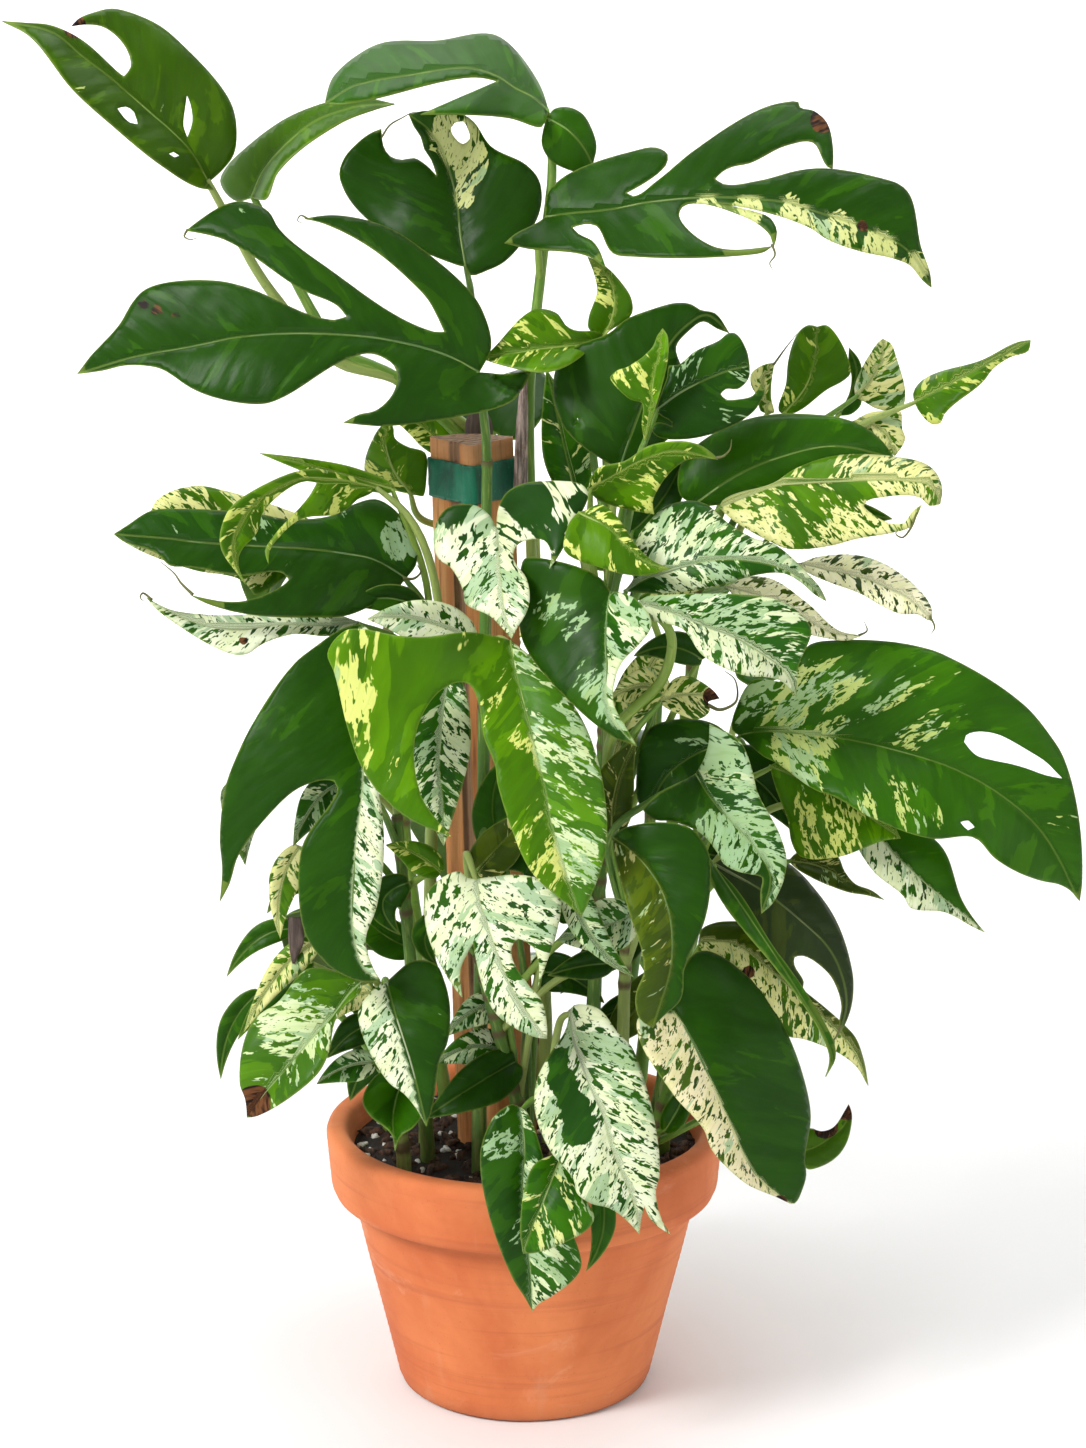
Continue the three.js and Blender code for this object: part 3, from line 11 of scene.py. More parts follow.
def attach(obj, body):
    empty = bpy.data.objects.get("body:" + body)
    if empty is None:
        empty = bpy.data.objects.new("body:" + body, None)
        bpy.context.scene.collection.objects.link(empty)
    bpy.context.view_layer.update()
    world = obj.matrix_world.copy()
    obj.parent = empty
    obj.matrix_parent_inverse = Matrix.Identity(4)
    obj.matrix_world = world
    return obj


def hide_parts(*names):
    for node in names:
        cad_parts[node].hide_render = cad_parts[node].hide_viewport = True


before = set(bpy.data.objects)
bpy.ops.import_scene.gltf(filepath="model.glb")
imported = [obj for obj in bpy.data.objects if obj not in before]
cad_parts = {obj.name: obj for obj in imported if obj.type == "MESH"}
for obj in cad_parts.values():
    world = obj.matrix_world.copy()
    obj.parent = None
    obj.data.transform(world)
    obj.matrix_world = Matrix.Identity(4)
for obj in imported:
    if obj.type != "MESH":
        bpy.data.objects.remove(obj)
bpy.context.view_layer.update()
print("frame loaded")

# lengths in the dictionaries are millimetres, as on the plant's drawing; meshes are in metres
mm = 0.001
soilTop = 153


def hue(red, green, blue):
    def straight(value):
        value /= 255
        return value / 12.92 if value <= 0.04045 else ((value + 0.055) / 1.055) ** 2.4
    return (straight(red), straight(green), straight(blue), 1)


def clamp(value, low=0, high=1):
    return max(low, min(high, value))


def ease(value, low, high):
    value = clamp((value - low) / (high - low))
    return value * value * (3 - 2 * value)


# shader maths

class Wire:
    def __init__(self, paint, socket):
        self.paint = paint
        self.socket = socket

    def maths(self, operation, *others):
        return self.paint.node("Math", {"operation": operation}, dict(enumerate((self,) + others)))

    def after(self, operation, other):  # the same, with the other value first
        return self.paint.node("Math", {"operation": operation}, {0: other, 1: self})

    def __add__(self, other):
        return self.maths("ADD", other)

    __radd__ = __add__

    def __sub__(self, other):
        return self.maths("SUBTRACT", other)

    def __rsub__(self, other):
        return self.after("SUBTRACT", other)

    def __mul__(self, other):
        return self.maths("MULTIPLY", other)

    __rmul__ = __mul__

    def __truediv__(self, other):
        return self.maths("DIVIDE", other)

    def output(self, index):  # another output of the same node
        return Wire(self.paint, self.socket.node.outputs[index])

    def between(self, low, high):  # 0 below low, 1 above high
        settings = {"interpolation_type": "SMOOTHSTEP"}
        return self.paint.node("MapRange", settings, {"Value": self, "From Min": low, "From Max": high})


class Paint:
    def __init__(self, name):
        self.material = bpy.data.materials.new(name)
        self.material.use_nodes = True
        self.tree = self.material.node_tree
        self.shader = self.tree.nodes["Principled BSDF"]

    def node(self, kind, settings=None, values=None, out=0):
        made = self.tree.nodes.new("ShaderNode" + kind)
        for key, value in (settings or {}).items():
            if key == "stops":
                ramp = made.color_ramp.elements
                while len(ramp) < len(value):
                    ramp.new(0.5)
                for stop, (place, colour) in zip(ramp, value):
                    stop.position = place
                    stop.color = colour
            else:
                setattr(made, key, value)
        for key, value in (values or {}).items():
            self.feed(made.inputs[key], value)
        return Wire(self, made.outputs[out])

    def feed(self, socket, value):
        if isinstance(value, Wire):
            self.tree.links.new(value.socket, socket)
        else:
            socket.default_value = value

    def attribute(self, name, out="Fac"):
        return self.node("Attribute", {"attribute_name": name}, out=out)

    def place(self, scale=(1, 1, 1), turn=(0, 0, 0)):  # the object's own coordinates, in metres
        at = self.node("TexCoord", out="Object")
        return self.node("Mapping", {}, {"Vector": at, "Scale": scale, "Rotation": turn})

    def grain(self, vector, scale, detail=3, rough=0.5, distortion=0):
        values = {"Vector": vector, "Scale": scale, "Detail": detail}
        return self.node("TexNoise", {}, values | {"Roughness": rough, "Distortion": distortion})

    def mix(self, first, second, share, blend="MIX"):
        settings = {"data_type": "RGBA", "blend_type": blend}
        return self.node("Mix", settings, {0: share, 6: first, 7: second}, out=2)

    def finish(self, colour, roughness, height=None, bump=0.3, distance=0.001, **fixed):
        self.feed(self.shader.inputs["Base Color"], colour)
        self.feed(self.shader.inputs["Roughness"], roughness)
        if height is not None:
            values = {"Strength": bump, "Distance": distance, "Height": height}
            self.feed(self.shader.inputs["Normal"], self.node("Bump", {}, values))
        for key, value in fixed.items():
            self.shader.inputs[key.replace("_", " ")].default_value = value
        return self.material


# how long each kind of mark on a leaf is along the blade
blotSizes = {"broad": 26, "patch": 9, "fleck": 3.2, "gaps": 3.7, "specks": 1.8, "grey": 15, "paintedSunlit": 19,
             "quilt": 12, "veinlets": 4.3}


def makeFoliage():
    p = Paint("waxy marbled leaf")
    # x along the midrib to where the side vein leaves it, y out from the midrib, z a seed
    parts = p.node("SeparateXYZ", {}, {0: p.attribute("vein", "Vector")})
    along, out, seed = parts, parts.output(1), parts.output(2)
    tone = p.attribute("tone", "Color")
    cover = p.attribute("cover")
    dry = p.attribute("dry")
    under = p.attribute("under")

    def blots(name, stretch, detail, shift=0.0):
        size = blotSizes[name]
        at = p.node("CombineXYZ", {}, {0: along / size, 1: out / (size * stretch), 2: seed * 5.3 + shift})
        return p.grain(at, 1, detail, 0.55, 0.5)

    broad = blots("broad", 2.2, 2)
    patch = blots("patch", 2.4, 3, 1.7)
    fleck = blots("fleck", 2.6, 2, 3.1)
    field = broad * 0.5 + patch * 0.33 + fleck * 0.17
    pale = (field - 0.5 + (cover - 0.5) * 0.34).between(-0.006, 0.008)
    gaps = blots("gaps", 1.6, 2, 5.9)
    specks = blots("specks", 1.5, 1, 10.7)
    pale = pale * (1 - (gaps - 0.17 * cover).between(0.44, 0.465)) * (1 - specks.between(0.64, 0.68) * 0.8)
    greyer = (blots("grey", 2.6, 4, 8.2) - 0.5 + (p.attribute("sage") - 0.5) * 0.3).between(-0.008, 0.012)
    # painted highlight: random lighter yellow-green patches that stand for sunlit parts of the blade
    paintedSunlit = (blots("paintedSunlit", 2, 4, 12.4) - 0.5 + (cover - 0.55) * 0.16).between(-0.01, 0.02)

    quilt = (along * (2 * math.pi / blotSizes["quilt"]) + broad * 11 + patch * 3).maths("SINE")
    veinlets = (along * (2 * math.pi / blotSizes["veinlets"]) + broad * 9 + patch * 6).maths("SINE")
    # painted highlight: the green is lightened towards yellow on the sunlit patches
    green = p.mix(tone, p.mix(tone, (1.9, 1.62, 0.8, 1), 1, "MULTIPLY"), paintedSunlit * 0.8)
    green = p.mix(green, (0.6, 0.64, 0.55, 1), broad.between(0.4, 0.62) * 0.6, "MULTIPLY")
    green = p.mix(green, (1.3, 1.25, 1.1, 1), quilt.between(0.75, 1) * 0.2, "MULTIPLY")
    green = p.mix(green, (1.25, 1.2, 1.05, 1), fleck.between(0.5, 0.65) * 0.35, "MULTIPLY")
    white = p.mix(p.attribute("cream", "Color"), hue(150, 182, 140), greyer * 0.8)
    white = p.mix(white, (0.84, 0.88, 0.62, 1), patch.between(0.4, 0.62) * 0.55, "MULTIPLY")
    white = p.mix(white, (0.72, 0.82, 0.6, 1), veinlets.between(0.72, 1) * 0.3, "MULTIPLY")
    colour = p.mix(green, white, pale)
    midrib = 1 - (out / 1.0).maths("ABSOLUTE").between(0.3, 1)
    colour = p.mix(colour, hue(132, 156, 72), midrib * 0.3)
    colour = p.mix(colour, hue(160, 180, 80), p.attribute("rim").between(0.6, 1) * 0.3)
    brown = p.mix(hue(28, 16, 12), hue(106, 66, 36), fleck.between(0.42, 0.66))
    colour = p.mix(colour, brown, (dry + patch * 0.5 - 0.25).between(0.42, 0.5))
    colour = p.mix(colour, hue(112, 138, 76), under * 0.35)
    shine = 0.3 + under * 0.24 + dry * 0.3 + patch * 0.14
    height = quilt * 0.12 + broad * 1.1 + patch * 0.35 - midrib * 0.8
    return p.finish(colour, shine, height, 0.4, 0.0014, Specular_IOR_Level=0.11)


def makeStemSkin():
    p = Paint("green stem skin")
    vein = p.attribute("vein", "Vector")
    tone = p.attribute("tone", "Color")
    dry = p.attribute("dry")
    streak = p.grain(p.node("Mapping", {}, {"Vector": vein, "Scale": (0.05, 1.3, 3)}), 0.9, 4, 0.6)
    spot = p.grain(p.place(), 260, 3)
    colour = p.mix(tone, hue(176, 194, 96), streak.between(0.48, 0.68) * 0.4)
    colour = p.mix(colour, hue(96, 84, 50), (dry + streak * 0.5 - 0.25).between(0.35, 0.75))
    colour = p.mix(colour, (0.6, 0.62, 0.5, 1), spot.between(0.62, 0.7) * 0.5, "MULTIPLY")
    return p.finish(colour, 0.42 + dry * 0.35 + spot * 0.1, streak * 0.6 + spot * 0.3, 0.3, 0.0006)


def makeTerracotta():
    p = Paint("unglazed terracotta")
    cloud = p.grain(p.place(), 9, 5, 0.6, 0.4)
    grit = p.grain(p.place(), 620, 4, 0.7)
    rings = p.grain(p.place((1.5, 1.5, 46)), 4, 4, 0.55)
    bloom = p.grain(p.place((1, 1, 1.8)), 17, 6, 0.68, 0.9)
    drips = p.grain(p.place((9, 9, 1.1)), 5, 4, 0.6)
    colour = p.mix(hue(198, 102, 54), hue(222, 130, 76), cloud.between(0.32, 0.68))
    colour = p.mix(colour, hue(172, 84, 52), rings.between(0.5, 0.72) * 0.35)
    colour = p.mix(colour, hue(232, 176, 142), bloom.between(0.56, 0.78) * 0.42)
    colour = p.mix(colour, hue(214, 158, 126), drips.between(0.58, 0.72) * 0.2)
    colour = p.mix(colour, hue(120, 62, 42), grit.between(0.63, 0.72) * 0.45)
    # darker towards the foot, and painted shade in the strip just under the rim band
    colour = p.mix(colour, hue(112, 74, 54), p.attribute("damp") * 0.55)
    rough = 0.78 + bloom * 0.14 - cloud * 0.06
    height = grit * 0.35 + rings * 0.8 + bloom * 0.3
    return p.finish(colour, rough, height, 0.4, 0.0008)


def makeCedar():
    p = Paint("rough sawn cedar")
    lay = p.place((1, 1, 0.045))
    fibre = p.grain(lay, 420, 5, 0.65, 0.15)
    board = p.grain(p.place((1, 1, 0.09)), 62, 4, 0.5, 0.8)
    saw = p.node("TexWave", {"bands_direction": "Z", "wave_profile": "SAW"}, {
        "Vector": p.place(), "Scale": 95, "Distortion": 2.2, "Detail": 2, "Detail Scale": 2.5})
    sawn = saw.output(1)
    end = p.attribute("end")
    heart = p.node("Mapping", {}, {"Vector": p.node("TexCoord", out="Object"), "Location": (0.055, -0.03, 0)})
    ring = p.node("TexWave", {"wave_type": "RINGS", "rings_direction": "Z"}, {
        "Vector": heart, "Scale": 62, "Distortion": 1.6, "Detail": 3, "Detail Scale": 1.4})
    rings = ring.output(1)
    knots = p.node("TexVoronoi", {"feature": "F1"}, {
        "Vector": p.place((1, 1, 0.28), (0.2, 0.1, 0)), "Scale": 17})
    knot = 1 - knots.between(0.05, 0.13)
    colour = p.mix(hue(196, 122, 64), hue(224, 160, 100), board.between(0.35, 0.65))
    colour = p.mix(colour, hue(126, 70, 34), fibre.between(0.5, 0.68) * 0.55)
    colour = p.mix(colour, hue(226, 168, 104), (1 - fibre).between(0.55, 0.7) * 0.5)
    colour = p.mix(colour, hue(70, 36, 22), knot * 0.6)
    weather = p.attribute("weather")
    # greyer towards the top end of the stake, and most in the groove
    colour = p.mix(colour, hue(138, 108, 84), (weather * board).between(0.3, 0.62) * 0.55)
    endWood = p.mix(hue(110, 84, 64), hue(158, 124, 94), rings.between(0.2, 0.8))
    # end-wood colour on the cut top, and also on the groove, which makes it darker than the board
    colour = p.mix(colour, endWood, end)
    height = fibre * 0.7 + board * 0.2 + sawn * 0.2 - knot * 0.3 + rings * end * 0.4
    return p.finish(colour, 0.72 + fibre * 0.16, height, 0.55, 0.0012)


def makeTape():
    p = Paint("green plant tape")
    fold = p.grain(p.place((1, 1, 0.35)), 90, 4, 0.6, 0.7)
    film = p.grain(p.place(), 700, 3)
    # painted highlight on the raised folds and painted shade in their hollows, from the same noise as the
    # bump
    colour = p.mix(hue(0, 84, 60), hue(8, 118, 86), fold.between(0.35, 0.7))
    colour = p.mix(colour, hue(8, 52, 40), (1 - fold).between(0.6, 0.78) * 0.7)
    colour = p.mix(colour, hue(120, 176, 152), film.between(0.64, 0.72) * 0.25)
    return p.finish(colour, 0.3 + fold * 0.2, fold * 0.8 + film * 0.15, 0.4, 0.0008)


def makeSoilMix():
    p = Paint("dark bark and peat mix")
    kind = p.attribute("kind")  # 0 peat, about 0.5 bark, 1 perlite
    clod = p.grain(p.place(), 120, 6, 0.72)
    crumb = p.grain(p.place(), 900, 4, 0.7)
    chip = p.grain(p.place((1, 0.3, 1)), 420, 4, 0.6)
    peat = p.mix(hue(20, 14, 11), hue(52, 38, 28), (clod * 0.6 + crumb * 0.4).between(0.42, 0.68))
    bark = p.mix(hue(38, 24, 16), hue(92, 60, 38), chip.between(0.35, 0.7))
    bead = p.mix(hue(204, 200, 190), hue(244, 242, 236), crumb.between(0.3, 0.7))
    colour = p.mix(peat, bark, kind.between(0.2, 0.4))
    colour = p.mix(colour, bead, kind.between(0.7, 0.9))
    return p.finish(colour, 0.88 - kind * 0.06, clod * 0.6 + crumb * 0.7, 0.7, 0.0016)


def makeHusk():
    p = Paint("dry papery sheath")
    fibre = p.grain(p.place((1, 1, 0.1)), 520, 4, 0.6)
    blot = p.grain(p.place(), 60, 4, 0.6)
    colour = p.mix(hue(104, 90, 86), hue(204, 178, 168), fibre.between(0.35, 0.7))
    colour = p.mix(colour, hue(92, 66, 48), blot.between(0.5, 0.66) * 0.6)
    colour = p.mix(hue(52, 38, 26), colour, p.attribute("dry"))
    return p.finish(colour, 0.7 + fibre * 0.15, fibre * 0.9 + blot * 0.3, 0.5, 0.001)


foliage = makeFoliage()
stemSkin = makeStemSkin()
terracotta = makeTerracotta()
cedar = makeCedar()
plantTape = makeTape()
soilMix = makeSoilMix()
husk = makeHusk()
print("materials made")


# meshes

class Build:  # gathers points, faces and what is painted on them, then makes one piece
    def __init__(self):
        self.points = []
        self.faces = []
        self.finish = []
        self.marks = {}

    def add(self, points, faces, finish=0, **marks):
        start = len(self.points)
        self.points += points
        self.faces += [tuple(start + i for i in face) for face in faces]
        self.finish += [finish] * len(faces)
        for key, values in marks.items():
            kept = self.marks.setdefault(key, {})
            for i in range(len(points)):
                kept[start + i] = values[i] if isinstance(values, list) else values

    def piece(self, name, *materials):
        mesh = bpy.data.meshes.new(name)
        mesh.from_pydata([tuple(p) for p in self.points], [], self.faces)
        for material in materials:
            mesh.materials.append(material)
        mesh.polygons.foreach_set("material_index", self.finish)
        mesh.polygons.foreach_set("use_smooth", [True] * len(self.faces))
        count = len(self.points)
        for key, kept in self.marks.items():
            first = next(iter(kept.values()))
            if isinstance(first, tuple):
                size = len(first)
                kind, field = ("FLOAT_VECTOR", "vector") if size == 3 else ("FLOAT_COLOR", "color")
                layer = mesh.attributes.new(key, kind, "POINT")
                blank = (0,) * size
                layer.data.foreach_set(field, [part for i in range(count) for part in kept.get(i, blank)])
            else:
                layer = mesh.attributes.new(key, "FLOAT", "POINT")
                layer.data.foreach_set("value", [kept.get(i, 0) for i in range(count)])
        mesh.validate()
        mesh.update()
        made = bpy.data.objects.new(name, mesh)
        bpy.context.scene.collection.objects.link(made)
        return made


def settle(piece, node):
    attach(piece, "root")
    if node:
        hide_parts(node)
    return piece


# the drawing board: the plant's face was laid out on an upright board through the pot's axis

eye = {"distance": 1620, "height": 747}


def onBoard(point):
    x, height, depth = point
    reach = 1 + depth / eye["distance"]
    return Vector((x * reach, depth, eye["height"] + (height - eye["height"]) * reach))


def pairs(row, size=2):  # points from the numbers of a row
    return [row[i:i + size] for i in range(0, len(row), size)]


def smoothLine(points, spacing):  # a curve through 2D points, with corners kept where they are sharp
    points = [Vector(p) for p in points]
    last = len(points) - 1
    tangents = []
    for i, here in enumerate(points):
        if i in (0, last):
            j = min(i, last - 1)
            tangents.append((points[j + 1] - points[j]).normalized())
            continue
        back, ahead = here - points[i - 1], points[i + 1] - here
        if back.length < 1e-6 or ahead.length < 1e-6:
            tangents.append(Vector((0, 0)))
            continue
        back.normalize()
        ahead.normalize()
        tangents.append((back + ahead) * clamp((back.dot(ahead) + 0.25) / 0.6) * 0.5)
    line = []
    for i, (p0, p1) in enumerate(zip(points, points[1:])):
        reach = (p1 - p0).length
        m0, m1 = tangents[i] * reach, tangents[i + 1] * reach
        steps = max(1, round(reach / spacing))
        for k in range(steps):
            t = k / steps
            line.append(p0 * (2 * t**3 - 3 * t**2 + 1) + m0 * (t**3 - 2 * t**2 + t)
                        + p1 * (3 * t**2 - 2 * t**3) + m1 * (t**3 - t**2))
    return line + [points[-1]]


# half outlines of the simple leaves, base to tip: how far along the midrib, and how far across
shapes = {
    "heart": (0, 0, -0.09, 0.3, -0.06, 0.66, 0.08, 0.93, 0.28, 1, 0.52, 0.82, 0.75, 0.48, 0.92, 0.16, 1, 0),
    "oval": (0, 0, -0.01, 0.35, 0.06, 0.68, 0.2, 0.92, 0.38, 1, 0.58, 0.84, 0.78, 0.5, 0.93, 0.17, 1, 0),
    "lance": (0, 0, 0.02, 0.4, 0.1, 0.72, 0.24, 0.95, 0.42, 1, 0.6, 0.8, 0.78, 0.48, 0.92, 0.18, 1, 0),
}
bladeSize = {"thick": 0.7, "spacing": 3.0, "arch": 0.07, "wave": 0.045, "waves": 2.2, "widest": 0.35,
             "slitStart": 0.35, "slitDepth": 0.75, "tilt": 0.25, "soften": 3}
leafNumbers = itertools.count()


def bend(base, mid, tip):  # the curve through three points or numbers
    pull = mid * 2 - (base + tip) / 2
    return lambda a: base * (1 - a) ** 2 + pull * (2 * a * (1 - a)) + tip * a * a


def edgeWave(leaf, side, share):  # how an edge waves along the leaf
    return math.sin(2 * math.pi * (share * bladeSize["waves"] + leaf["number"] * 0.618 + side * 0.37))


def toLine(point, start, end):  # how far a point is from a straight piece
    way = end - start
    share = clamp((point - start).dot(way) / way.length_squared)
    return (point - start - way * share).length


def drawn(look, rib, a, b, depths, **more):  # a leaf whose midrib and edges are drawn on the board
    rib, a, b = pairs(rib), pairs(a), pairs(b)
    leaf = dict(more, look=look, rib=rib, edges=(a, b), number=next(leafNumbers))
    base, mid, tip, *sides = depths
    fine = smoothLine(rib, bladeSize["spacing"])
    lengths = [0]
    for here, there in zip(fine, fine[1:]):
        lengths.append(lengths[-1] + (there - here).length)
    length = lengths[-1]
    depth = bend(base, mid, tip)
    samples = [(p, s / length) for p, s in zip(fine, lengths)]
    widths = [max(min((Vector(p) - q).length for q, _ in samples) for p in side) for side in (a, b)]
    sides = [side - depth(bladeSize["widest"]) for side in sides]
    # which way round the midrib side a lies
    middle = len(fine) // 2
    heading = fine[min(middle + 1, len(fine) - 1)] - fine[max(middle - 1, 0)]
    away = sum((Vector(p) for p in a), Vector((0, 0))) / len(a) - fine[middle]
    turn = 1 if heading.cross(away) > 0 else -1

    def read(point):  # side, share along the midrib, distance from it
        total = share = 0
        nearest, index = 1e9, 0
        for i, (q, t) in enumerate(samples):
            gap = (point.x - q.x) ** 2 + (point.y - q.y) ** 2
            if gap < nearest:
                nearest, index = gap, i
            weight = 1 / (gap + bladeSize["soften"] ** 2) ** 2
            total += weight
            share += weight * t
        j = clamp(index, 1, len(fine) - 2)
        side = 0 if (fine[j + 1] - fine[j - 1]).cross(point - fine[j]) * turn > 0 else 1
        return side, share / total, min(toLine(point, fine[k], fine[k + 1]) for k in (j - 1, j))

    def lift(point):
        side, t, gap = read(point)
        c = clamp(gap / widths[side], 0, 1.1)
        arch = bladeSize["arch"] * widths[side] * 4 * c * (1 - c)
        wave = edgeWave(leaf, side, t) * c * c * widths[side] * bladeSize["wave"]
        return onBoard((point.x, point.y, depth(t) + c * sides[side] - arch + wave))
    first = onBoard((*fine[0], depth(0)))
    start = (onBoard((*fine[2], depth(lengths[2] / length))) - first).normalized()
    leaf.update(line=fine, length=length, read=read, lift=lift, base=onBoard((*rib[0], base)), start=start,
                ribAt=lambda distance: first + start * distance, facing=Vector((0, -1, 0.4)))
    return leaf


def simple(base, mid, tip, widths, shape, facing, leaf):  # a leaf from a half outline, laid along its midrib
    pull = mid * 2 - (base + tip) / 2
    at = bend(base, mid, tip)

    def towards(a):
        return ((pull - base) * (1 - a) + (tip - pull) * a).normalized()
    half = pairs(shapes[shape])
    heading = towards(bladeSize["widest"])
    facing = (facing - heading * facing.dot(heading)).normalized()
    length = (mid - base).length + (tip - mid).length
    across, outward, edges = [], [], []
    for sign, width, slits in zip((1, -1), widths, (leaf.get("a", ()), leaf.get("b", ()))):
        reach = (facing.cross(heading) * sign + facing * bladeSize["tilt"]).normalized() * width
        normal = heading.cross(reach).normalized()
        across.append(reach)
        outward.append(normal if normal.dot(facing) > 0 else -normal)
        points = [(a * length, sign * s * width) for a, s in half]
        for place, gap in reversed(slits):
            def along(s):
                k = min(int(s), len(points) - 2)
                return Vector(points[k]).lerp(Vector(points[k + 1]), s - k)
            deep = Vector((length * half[place][0] * bladeSize["slitDepth"], 0))
            mouth = deep.lerp(along(place), bladeSize["slitStart"])
            cleft = [along(place - gap) * 1.02, mouth, along(place + gap)]
            points = points[:math.ceil(place - gap)] + cleft + points[math.floor(place + gap) + 1:]
        edges.append([tuple(p) for p in points[1:-1]])
    rib = [(length * k / 4, 0) for k in range(5)]

    def read(point):
        return 0 if point.y >= 0 else 1, point.x / length, abs(point.y)

    def lift(point):
        side, a, gap = read(point)
        share = gap / widths[side]
        turn = heading.rotation_difference(towards(clamp(a)))
        arch = bladeSize["arch"] * 4 * share * (1 - share)
        arch += edgeWave(leaf, side, a) * share * share * bladeSize["wave"]
        return at(a) + turn @ (across[side] * share + outward[side] * arch * widths[side])
    leaf.update(rib=rib, edges=edges, length=length, line=smoothLine(rib, bladeSize["spacing"]), base=base,
                start=towards(0), read=read, lift=lift, facing=facing, ribAt=lambda gap: at(gap / length))
    return leaf


def leaf(look, base, mid, tip, widthA, widthB, shape):
    middle = onBoard(mid)
    facing = Vector((0, -eye["distance"], eye["height"])) - middle
    made = {"look": look, "number": next(leafNumbers)}
    return simple(onBoard(base), middle, onBoard(tip), (widthA, widthB), shape, facing, made)


def rearLeaf(look, bearing, reach, height, length, halfWidth, rise, droop, shape, **more):
    angle = math.radians(bearing)
    out = Vector((math.cos(angle), math.sin(angle), 0))
    up = Vector((0, 0, 1))

    def step(degrees):
        slope = math.radians(degrees)
        return (out * math.cos(slope) + up * math.sin(slope)) * (length / 2)
    base = out * reach + up * height
    mid = base + step(rise)
    made = dict(more, look=look, number=next(leafNumbers))
    return simple(base, mid, mid + step(droop), [halfWidth] * 2, shape, out + up, made)


# what each leaf is like: its green, its pale colour, how much of it is pale, how grey that is
looks = {name: {"tone": hue(*green), "cream": hue(*pale), "cover": cover, "sage": sage}
         for name, green, pale, cover, sage in (
    ("deep", (30, 68, 3), (150, 178, 120), 0.02, 0.8),
    ("deepCream", (30, 68, 3), (206, 210, 140), 0.0, 0.1),
    ("deepSage", (30, 70, 8), (164, 188, 146), 0.3, 0.9),
    ("bright", (58, 96, 0), (188, 202, 122), 0.04, 0.5),
    ("plain", (42, 88, 3), (188, 202, 122), 0.06, 0.5),
    ("streaked", (36, 82, 4), (214, 218, 144), 0.42, 0.4),
    ("lime", (62, 106, 2), (210, 216, 120), 0.4, 0.05),
    ("limeSage", (64, 110, 20), (206, 220, 172), 0.42, 0.45),
    ("cream", (56, 98, 8), (226, 224, 156), 0.64, 0.1),
    ("ivory", (44, 70, 18), (228, 218, 176), 0.76, 0.05),
    ("bleached", (48, 72, 14), (255, 250, 214), 0.78, 0.05),
    ("marble", (32, 78, 10), (214, 224, 186), 0.58, 0.55),
    ("white", (30, 70, 14), (222, 228, 196), 0.76, 0.35),
    ("sage", (34, 76, 20), (190, 204, 160), 0.6, 0.85),
    # painted shade: a dark grey-green for a leaf that lies in shadow
    ("dusk", (38, 52, 22), (150, 150, 110), 0.0, 0.5),
    ("olive", (58, 78, 12), (196, 192, 124), 0.36, 0.3),
)}

